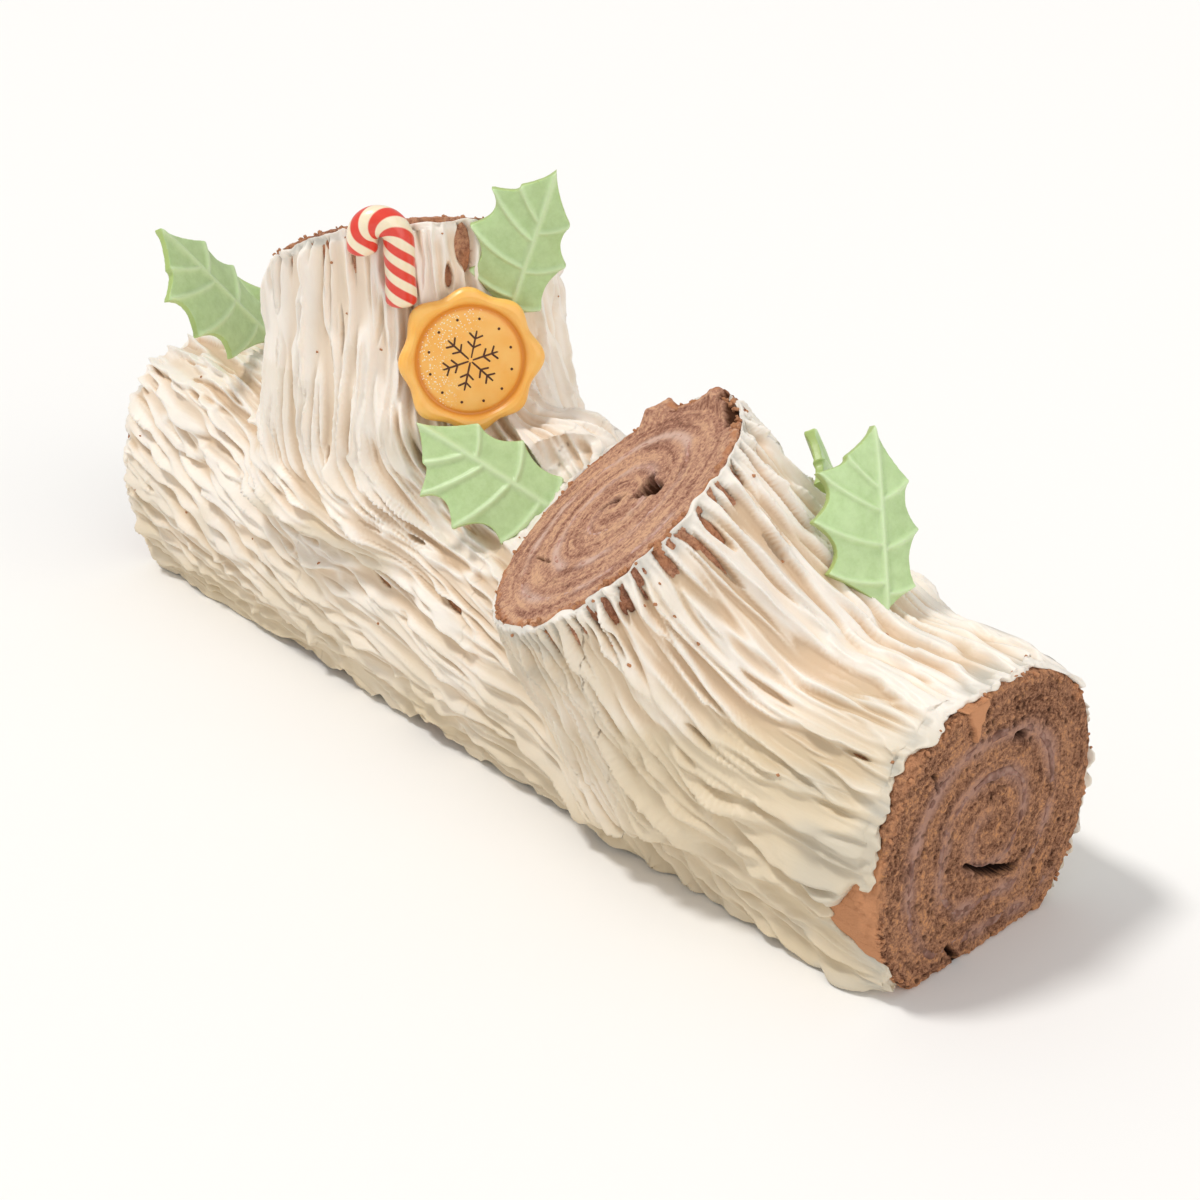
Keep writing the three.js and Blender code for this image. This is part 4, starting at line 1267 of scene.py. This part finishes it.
crevices = (  # place, width, length and depth of the gaps that reach down to the sponge
    ((125.5, -41.2, 118), 2.7, 28, 4.8), ((131, -40.3, 108), 2.3, 22, 4.8), ((130, -19, 111), 3.2, 16, 4.6),
    ((133.5, -21.5, 108), 2.4, 13, 4.2), ((118.5, -11.7, 125), 2.2, 12, 4.0),
    ((18, -44.6, 56.4), 2.6, 13, 4.3), ((175, -37.6, 69.4), 2.0, 16, 4.0),
    ((-38.5, -46.4, 90.8), 1.8, 9, 3.8), ((-19, -48, 53), 1.8, 11, 3.6), ((-5, -38.3, 69.2), 2.2, 10, 4.0),
    ((134, -50, 61), 1.6, 14, 3.6), ((112, -64, 90), 1.6, 24, 3.4), ((-9.5, -19, 151), 3.4, 13, 4.4),
    ((-7.4, -13.8, 168), 6.5, 36, 4.8), ((-41, -46, 163), 3, 14, 4.4), ((-84, -35, 150), 2.4, 16, 3.8))
for place, width, length, depth in crevices:
    rakeGroove(tree.find(place)[1], width, length, depth, rng.uniform(0.4, 0.9))
print("edges combed")

height = np.clip(height, cream["deepest"], cream["crest"])
wiped = smoothStep(base[:, 0], log["nearEnd"] - 18, log["nearEnd"] - 6) * smoothStep(-base[:, 1], -12, 14)
height *= 1 - 0.35 * wiped
scraped = np.hypot((base[:, 0] - patch["along"]) / patch["long"], (base[:, 2] - patch["up"]) / patch["tall"])
scraped = scraped + 0.35 * wander(base, 6, 56)
height = np.where((base[:, 1] < -30) & (scraped < 1), -5.2, height)
height[onCap] = 0
moved = base + normals * height[:, None]
lean = crosswise * np.sign(crosswise @ np.array([0.5, -0.6, -1.0]))[:, None]  # crests droop downhill
moved += lean * (cream["droop"] * np.clip(height - 0.2, 0, 2.2) * ~onCap)[:, None]


# what is left of the cream's thickness near a sawn edge, as a share that wanders
def thinShare(least, seeds, sizes, ridges):
    wandering = 1 + 0.6 * wander(base, sizes[0], seeds[0]) + 0.4 * wander(base, sizes[1], seeds[1])
    return np.clip(least * wandering + ridges * height, 0.05, 1)


# Towards each sawn face the cream thins out; it ends raggedly, some pulls short of the face. The numbers are
# how far from the face that begins, the least share that is left, and how far short most pulls end.
branchEdges = ((rear, 9, 0.42, 2.3), (front, 13, 0.34, 1.0))
logEdges = (("nearEnd", 1, 18, 0.36, 2.2), ("farEnd", -1, 8, 0.6, 0.8))
left = np.ones(len(base))
for branch, reach, least, short in branchEdges:
    across, up, axis = branchAxes(branch)
    offset = moved - np.array(branch["centre"])
    radial = np.outer(offset @ across, across) + np.outer(offset @ up, up)
    r = np.linalg.norm(radial, axis=1)
    lift = r - branch["radius"]
    below = -faceDistance(branch, base)
    within = (lift > 0) * (lift < 12) * (below < reach) * smoothStep(logLift(moved), 3, 9)
    share = thinShare(least, (65, 66), (6, 15), 0.2)
    thinner = 1 - within * (1 - share) * (1 - smoothStep(below, -1, reach))
    moved += radial * (np.maximum(lift, 0) * (thinner - 1) / np.maximum(r, 1))[:, None]
    left = np.minimum(left, thinner)
    close = smoothStep(-below, -6, -0.5) * (branchLift(branch, base) < 9) * (branchLift(branch, base) > -2)
    ragged = 1.0 * wander(base, 3.5, 61) + 1.3 * wander(base, 10, 62)
    ragged = ragged + 0.4 * np.where(onCap, 0, height) - short
    moved += axis * (close * np.minimum(ragged, 0.9))[:, None]
for end, outward, reach, least, short in logEdges:
    inward = (log[end] - base[:, 0]) * outward
    share = thinShare(least, (67, 68), (6, 16), 0.12)
    lift = logLift(moved)
    thinner = 1 - (inward < reach) * (lift > 0) * (1 - share) * (1 - smoothStep(inward, -1, reach))
    radial = moved[:, 1:] - np.array([0, log["centreHeight"]])
    radial = radial / np.linalg.norm(radial, axis=1)[:, None]
    moved[:, 1:] += radial * (np.maximum(lift, 0) * (thinner - 1))[:, None]
    left = np.minimum(left, thinner)
    close = smoothStep(-inward, -8, -0.5) * (logLift(base) > -3)
    ragged = 1.5 * wander(base, 2, 60) + 2.0 * wander(base, 4, 63) + 3.4 * wander(base, 12, 64) - short
    moved[:, 0] += outward * close * np.minimum(ragged, 0.8)
thickness = cream["coat"] * left + 0.5 * height
# greyer on the front branch's lower side and behind the near face: partly a real thin scrape, partly painted
# shade on those shaded sides; only the thin tint reads it
below = -faceDistance(front, base)
filmAndShade = smoothStep(30 - below, 0, 18) * smoothStep(10 - branchLift(front, base), 0, 4)
filmAndShade = filmAndShade * smoothStep(118 - base[:, 0], 0, 24)
filmAndShade = np.maximum(filmAndShade, smoothStep(base[:, 0], 135, 175) * smoothStep(74 - base[:, 2], 0, 14))
filmAndShade *= smoothStep(-base[:, 1], 26, 36) * smoothStep(wander(base, [16, 9, 6], 69), -0.7, 0.3)
thickness = np.minimum(thickness, 3 - 2.1 * filmAndShade)

# The lower edge hangs free of the board in scallops and flares out.
sway = base * [1, 0.15, 0]
scallops = wander(sway, 30, 71) + 0.5 * wander(sway, 10, 72) + 0.3 * wander(sway, 4, 73)
hem = cream["boardGap"] + 9 * smoothStep(scallops, -0.25, 1.2)
low = base[:, 2] < 18
lowSide = low & (logLift(base) > 0)
flareOut = 3.2 * smoothStep(hem + 6 - base[:, 2], 0, 7) * lowSide * (0.5 + 0.7 * wander(sway, 15, 74))
flareOut += 3.5 * lowSide * np.exp(-((base[:, 0] - 184) / 9) ** 2) * smoothStep(9 - base[:, 2], 0, 8)
moved[:, 1] += np.sign(base[:, 1]) * flareOut
held = cream["behind"] + 4 * np.tanh((moved[:, 1] - cream["behind"]) / 6)
moved[:, 1] = np.where(moved[:, 1] > cream["behind"], held, moved[:, 1])
lowest = np.where(logLift(base) > -2, hem, cream["boardGap"])
moved[:, 2] = np.where(low, np.maximum(moved[:, 2], lowest), moved[:, 2])
# the scraped patch is bare down to the sponge
bare = smoothStep(1.12 - scraped, 0, 0.15) * (base[:, 1] < -28)
radial = unitRows(moved * [0, 1, 1] - [0, 0, log["centreHeight"]])
moved -= radial * (bare * (np.maximum(logLift(moved), 0) + 1.5))[:, None]
writePoints(coat, moved)
applyModifier(coat, "SMOOTH", factor=0.5, iterations=4)
surface = readPoints(coat)

core = ringLoft(logRings(0.1, (log["farEnd"] - 12, log["nearEnd"] + 12), around=120), "core")
corePoints = readPoints(core)
corePoints[:, 2] = np.where(corePoints[:, 2] < 0.5, -5, corePoints[:, 2])
writePoints(core, corePoints)
boolean(coat, core, "DIFFERENCE")
for branch in (rear, front):
    rings = branchRings(branch, 0.1, [(-branch["reach"], 0), (0, 1), (14, 1)], around=120)
    boolean(coat, ringLoft(rings, "core"), "DIFFERENCE")

# Bits of cream cut loose by the sponge are wiped away: only the one joined body stays.
openAll(coat)
bpy.ops.mesh.separate(type="LOOSE")
closeEdit()
parts = sorted(bpy.context.selected_objects, key=lambda o: len(o.data.vertices))
coat = parts.pop()
for part in parts:
    bpy.data.objects.remove(part)


def triangleCount(piece):
    return sum(len(p.vertices) - 2 for p in piece.data.polygons)


print("coat cut", triangleCount(coat), "triangles", len(parts), "loose bits wiped away")

# Attributes of the strokes go with the mesh. It is cut in four closed lengths, to keep the meshes light, and
# each laps a hair's breadth over the next, so that no gap shows.
surfaceTree = treeOf(surface)
cuts = (None, *cream["cuts"], None)
for name, start, end in zip(("far", "middle", "branch", "near"), cuts, cuts[1:]):
    part = copyPiece(coat)
    if start is not None:
        bisectAt(part, start - cream["lap"], -1)
    if end is not None:
        bisectAt(part, end + cream["lap"], 1)
    faces = triangleCount(part)
    print(name, faces)
    if faces > cream["triangles"]:
        applyModifier(part, "DECIMATE", ratio=cream["triangles"] / faces)
    final = readPoints(part)
    nearest = np.array([surfaceTree.find(p)[1] for p in final])
    # Painted shade, with a painted peach reflection of the board. low darkens the cream towards the bottom,
    # undersideShade where it faces down, and branchSideShade on the front branch's shaded lower side and on
    # the log's front beside it.
    low = 0.95 * smoothStep(60 - final[:, 2] + 16 * wander(final, 22, 88), 0, 60)
    facingDown = 0.2 - normals[nearest, 2] + 0.3 * wander(final, 14, 89)
    undersideShade = 0.6 * smoothStep(facingDown, 0, 0.6) * (final[:, 2] < 115)
    branchSideShade = smoothStep(80 - final[:, 2] + 10 * wander(final, [24, 9, 9], 90), 0, 24)
    branchSideShade = smoothStep(final[:, 0], 82, 118) * branchSideShade
    # groove is painted shade in the grooves, half as strong on the stump
    writeValues(part, groove=smoothStep(-height[nearest], 0.4, 3.8) * (1 - 0.5 * onStump[nearest]),
                thin=0.75 * smoothStep(-thickness[nearest], -2.1, 0.2),
                low=np.maximum(np.maximum(low, undersideShade), 0.85 * branchSideShade * (final[:, 1] < 0)),
                upright=upright[nearest])
    replaced = ("icing",) if name == "middle" else ()
    finishPiece(part, "icing_combed_" + name, buttercream, replaced)
bpy.data.objects.remove(coat)

# Flecks of sponge dragged into the cream, most of them near the sawn faces.
fleckDraw = np.random.default_rng(7)
faceNear = np.minimum(np.abs(faceDistance(front, base)) + np.maximum(branchLift(front, base) - 6, 0) * 9,
                      np.abs(faceDistance(rear, base)) + np.maximum(branchLift(rear, base) - 6, 0) * 9)
faceNear = np.minimum(faceNear, log["nearEnd"] - base[:, 0])
chance = (0.06 + np.exp(-faceNear / 7)) * ~onCap * (base[:, 2] > 12)
picked = fleckDraw.choice(len(base), crumbs["flecks"], replace=False, p=chance / chance.sum())
makeCrumbs(surface[picked], crumbs["fleckSize"], "crumb_flecks", fleckDraw)
print("buttercream ready")

# Holly leaves, all from one mould: two rows of spines, a rib, a vein to each spine, and a soft cup.
holly = dict(length=50, thickness=2.8, bite=0.24, cup=2.2, wave=0.9,
             rib=(0.95, 1.2), vein=(0.75, 0.95),  # half width and rise
             left=((-16, 11), (-20, 25), (-17, 38), (-9, 42)), right=((9.5, 6.5), (12.5, 22), (9.5, 35)),
             veinStart=(8, 18, 27, 33, 5, 17, 30), voxel=0.45, kept=0.5)
leafPlaces = dict(
    holly_leaf_right=dict(at=(151.4, 2.5, 86.5), heading=-17, lean=25, roll=-7, size=1.02),
    holly_leaf_right_back=dict(at=(118, 30, 84), heading=48, lean=22, roll=0, size=0.85),
    holly_leaf_centre=dict(at=(38.6, -14.6, 83.8), heading=-42, lean=32, roll=57.2, size=1.1),
    holly_leaf_top=dict(at=(-0.3, -4.6, 136.6), heading=-42, lean=-5, roll=-19, size=1),
    holly_leaf_left=dict(at=(-137.5, -7, 97.5), heading=26, lean=24, roll=32, size=1.24),
    holly_leaf_left_back=dict(at=(-142, 9, 84), heading=-42, lean=10, roll=35, size=0.82))


def curveThrough(a, b, c, count):
    t = np.linspace(0, 1, count)[:, None]
    return (1 - t) ** 2 * a + 2 * t * (1 - t) * b + t ** 2 * c


def leafEdge(spines):
    stops = [np.array(p, float) for p in ((0, 0), *spines, (0, holly["length"]))]
    edge = [stops[0][None]]
    for a, c in zip(stops, stops[1:]):
        middle = (a + c) / 2
        edge.append(curveThrough(a, np.array([middle[0] * (1 - 2 * holly["bite"]), middle[1]]), c, 15)[1:])
    return np.vstack(edge)


leftEdge, rightEdge = leafEdge(holly["left"]), leafEdge(holly["right"])
outline = np.vstack([rightEdge, leftEdge[::-1][1:-1]])
deselectAll()
bpy.ops.mesh.primitive_circle_add(vertices=len(outline), radius=1, fill_type="NGON")
mould = bpy.context.object
writePoints(mould, np.column_stack([outline, np.full(len(outline), holly["thickness"] / 2)]))
openAll(mould)
bpy.ops.mesh.extrude_region_move(TRANSFORM_OT_translate={"value": (0, 0, -holly["thickness"] * mm)})
closeEdit()
turnOut(mould)
applyModifier(mould, "REMESH", mode="VOXEL", voxel_size=holly["voxel"] * mm)
applyModifier(mould, "SMOOTH", factor=0.5, iterations=5)
mouldPoints = readPoints(mould)
mouldNormals = readNormals(mould)
flat = mouldPoints[:, :2]
rib = curveThrough(np.array([0, 0.0]), np.array([0.4, 18 * 1.3]), np.array([0, 49.0]), 60)
veins = [(rib, *holly["rib"])]
for start, spine in zip(holly["veinStart"], (*holly["left"], *holly["right"])):
    a, c = np.array([0.2, start], float), np.array(spine, float)
    b = (a + c) / 2 + np.array([0, -0.12 * abs(c[0])])
    veins.append((curveThrough(a, b, a + (c - a) * 0.93, 40), *holly["vein"]))
veinMask = np.zeros(len(flat))
for line, halfWidth, rise in veins:
    away = nearestOn(line, flat)
    veinMask = np.maximum(veinMask, rise * np.exp(-(away / halfWidth) ** 2))
rim = nearestOn(outline, flat)
pillow = 0.35 * smoothStep(rim, 0, 3.5) - 0.2 * np.exp(-(nearestOn(rib, flat) / 3) ** 2)
frontSide = smoothStep(mouldNormals[:, 2], 0.1, 0.7)
backSide = smoothStep(-mouldNormals[:, 2], 0.1, 0.7)
mouldPoints[:, 2] += frontSide * (veinMask + pillow - 0.25) - backSide * (0.5 * veinMask)
bend = -holly["cup"] * flat[:, 0] ** 2 / 400 + holly["wave"] * np.sin(flat[:, 1] / 4.5) * flat[:, 0] / 16
mouldPoints[:, 2] += bend
writePoints(mould, mouldPoints)
# vein is a painted highlight on the raised veins; edge is painted shade on the sides by the rim
writeValues(mould, vein=np.clip(veinMask, 0, 1) * 0.8,
            edge=0.8 * smoothStep(1.6 - rim, 0, 1.2) * (1 - frontSide))
applyModifier(mould, "SMOOTH", factor=0.4, iterations=1)
applyModifier(mould, "DECIMATE", ratio=holly["kept"])
mouldPoints = readPoints(mould)
for name, place in leafPlaces.items():
    leaf = copyPiece(mould)
    axes, at = standing(place)
    writePoints(leaf, (mouldPoints * [place["size"], place["size"], 1]) @ axes + at)
    finishPiece(leaf, name + "_moulded", leafPaste, (name,))
bpy.data.objects.remove(mould)
print("leaves ready")

# The seal: half its section, as distance from the middle and height, is spun round once.
seal = dict(
    radius=22, faceRadius=17, hollowRadius=16.7, lobes=8, lobeHeight=1.1, steps=160,
    at=(-1.8, -18.7, 126), heading=-30, lean=9,
    section=((0.01, 0.4), (17, 0.3), (20.6, 0.2), (21.8, 0.9), (22.1, 2.2), (21.8, 3.6), (20.9, 4.6),
             (19.6, 5.0), (18.4, 4.7), (17.5, 3.9), (17.0, 3.1), (16.4, 2.9), (15.6, 3.3), (14, 3.45),
             (9, 3.5), (4, 3.5), (0.01, 3.5)))
curve = []
for a, b in zip(seal["section"], seal["section"][1:]):
    curve += [(a[0] + (b[0] - a[0]) * k / 4, a[1] + (b[1] - a[1]) * k / 4) for k in range(4)]
curve.append(seal["section"][-1])
sealMesh = bpy.data.meshes.new("seal")
edges = [(i, i + 1) for i in range(len(curve) - 1)]
sealMesh.from_pydata([(x * mm, 0, z * mm) for x, z in curve], edges, [])
plaque = bpy.data.objects.new("seal", sealMesh)
bpy.context.scene.collection.objects.link(plaque)
makeActive(plaque)
bpy.ops.object.mode_set(mode="EDIT")
bpy.ops.mesh.select_mode(type="VERT")
bpy.ops.mesh.select_all(action="SELECT")
bpy.ops.mesh.spin(steps=seal["steps"], angle=fullTurn, center=(0, 0, 0), axis=(0, 0, 1), use_auto_merge=True)
bpy.ops.mesh.select_all(action="SELECT")
bpy.ops.mesh.remove_doubles(threshold=0.00003)
closeEdit()
turnOut(plaque)
sealPoints = readPoints(plaque)
angle = np.arctan2(sealPoints[:, 1], sealPoints[:, 0])
r = np.hypot(sealPoints[:, 0], sealPoints[:, 1])
rim = smoothStep(r, seal["faceRadius"] - 0.5, seal["radius"])
lobe = seal["lobeHeight"] * np.cos(seal["lobes"] * angle) + 0.35 * np.sin(3 * angle + 1)
lobe = lobe + 0.3 * np.sin(5 * angle + 2)
sealPoints[:, :2] *= (1 + rim * (lobe - 0.2) / seal["radius"])[:, None]
upperSide = sealPoints[:, 2] > 1.5
# painted shade: a deeper amber ring in the hollow inside the rim
hollowShade = np.exp(-(r - seal["hollowRadius"]) ** 2) * upperSide
swell = 0.25 * np.cos(seal["lobes"] * angle + 0.4) + 0.15 * wander(sealPoints, 5, 5)
sealPoints[:, 2] += rim * swell * upperSide
sealPoints[:, 2] += 0.05 * wander(sealPoints, 3, 6)
axes, at = standing(seal)
writePoints(plaque, sealPoints @ axes + at)
# the left of the face gets the sugar specks, their pale colour a painted glint
leftSide = smoothStep(-sealPoints[:, 0] + 0.4 * sealPoints[:, 1], -2, 6) * smoothStep(r, 5, 11) * (r < 16)
writeValues(plaque, hollow=hollowShade, sugared=leftSide)
finishPiece(plaque, "seal_pressed", sealPaste, ("seal_plaque",))

# Plain six-armed snowflake with a ring of dots, printed on the face.
flake = dict(arms=6, turn=15, arm=9.5, line=0.62, twig=2.7, twigAt=(4.2, 6.9), twigTurn=55,
             dots=12, dotRing=13.2, dotRadius=0.45, top=3.44, thick=0.2)
bars = []  # start, angle and length of each
for k in range(flake["arms"]):
    arm = math.radians(360 / flake["arms"] * k + flake["turn"])
    bars.append(((0, 0), arm, flake["arm"]))
    for d in flake["twigAt"]:
        root = (d * math.cos(arm), d * math.sin(arm))
        bars += [(root, arm + math.radians(s * flake["twigTurn"]), flake["twig"]) for s in (-1, 1)]
printed = []
for (x0, y0), turnAngle, length in bars:
    deselectAll()
    bpy.ops.mesh.primitive_cube_add(size=1)
    bar = bpy.context.object
    openAll(bar)
    bpy.ops.mesh.bevel(offset=0.2, segments=3, affect="EDGES")
    closeEdit()
    p = readPoints(bar) * mm
    x, y, z = (p[:, 0] + 0.5) * length, p[:, 1] * flake["line"], p[:, 2] * flake["thick"] + flake["top"]
    c, s = math.cos(turnAngle), math.sin(turnAngle)
    writePoints(bar, np.column_stack([x0 + x * c - y * s, y0 + x * s + y * c, z]) @ axes + at)
    printed.append(bar)
for k in range(flake["dots"]):
    a = fullTurn * (k + 0.5) / flake["dots"]
    deselectAll()
    bpy.ops.mesh.primitive_uv_sphere_add(segments=12, ring_count=6, radius=1)
    dot = bpy.context.object
    p = readPoints(dot) * mm * [flake["dotRadius"], flake["dotRadius"], flake["thick"] / 2]
    place = [flake["dotRing"] * math.cos(a), flake["dotRing"] * math.sin(a), flake["top"] + 0.05]
    writePoints(dot, (p + place) @ axes + at)
    printed.append(dot)
finishPiece(joinPieces(printed), "seal_print", edibleInk)
print("seal ready")

# Candy cane: a ball drawn out along a hooked line, its ends rounded over.
cane = dict(radius=4.75, stem=20.9, hookRadius=5.6, hookEnd=5, tip=2.6, rings=120,
            at=(-14.6, -34.2, 142.9), heading=-46)
tall, bend = cane["stem"], cane["hookRadius"]
stem = [(0, y, 0) for y in np.linspace(0, tall, 30)]
bow = [(bend * (math.cos(a) - 1), tall + bend * math.sin(a), 0) for a in np.linspace(0, math.pi, 30)[1:]]
drop = [(-2 * bend, tall - y, 0) for y in np.linspace(0, cane["hookEnd"], 8)[1:]]
path = np.array(stem + bow + drop)
lengths = lengthsAlong(path)
deselectAll()
bpy.ops.mesh.primitive_uv_sphere_add(segments=40, ring_count=cane["rings"], radius=1)
stick = bpy.context.object
p = readPoints(stick) * mm
s = (1 - np.arccos(np.clip(p[:, 2], -1, 1)) / math.pi) * lengths[-1]
fromEnd = np.minimum(s, lengths[-1] - s)
radius = cane["radius"] * np.sqrt(np.clip(1 - np.clip(1 - fromEnd / cane["tip"], 0, 1) ** 2.4, 0, 1))
radius *= 1 + 0.018 * np.sin(s / 2.3) + 0.012 * np.sin(s / 5.1 + 1)
ahead = unitRows(resampled(s, lengths, np.gradient(path, axis=0)))
out = np.array([0.0, 0, 1])
aside = np.cross(ahead, out)
phi = np.arctan2(p[:, 1], p[:, 0])
points = resampled(s, lengths, path) + aside * (radius * np.cos(phi))[:, None]
points = points + out * (radius * np.sin(phi))[:, None]
axes, at = standing(cane)
writePoints(stick, points @ axes + at)
turnOut(stick)
finishPiece(stick, "candy_cane_striped", caneSugar, ("candy_cane",))
print("candy cane ready")
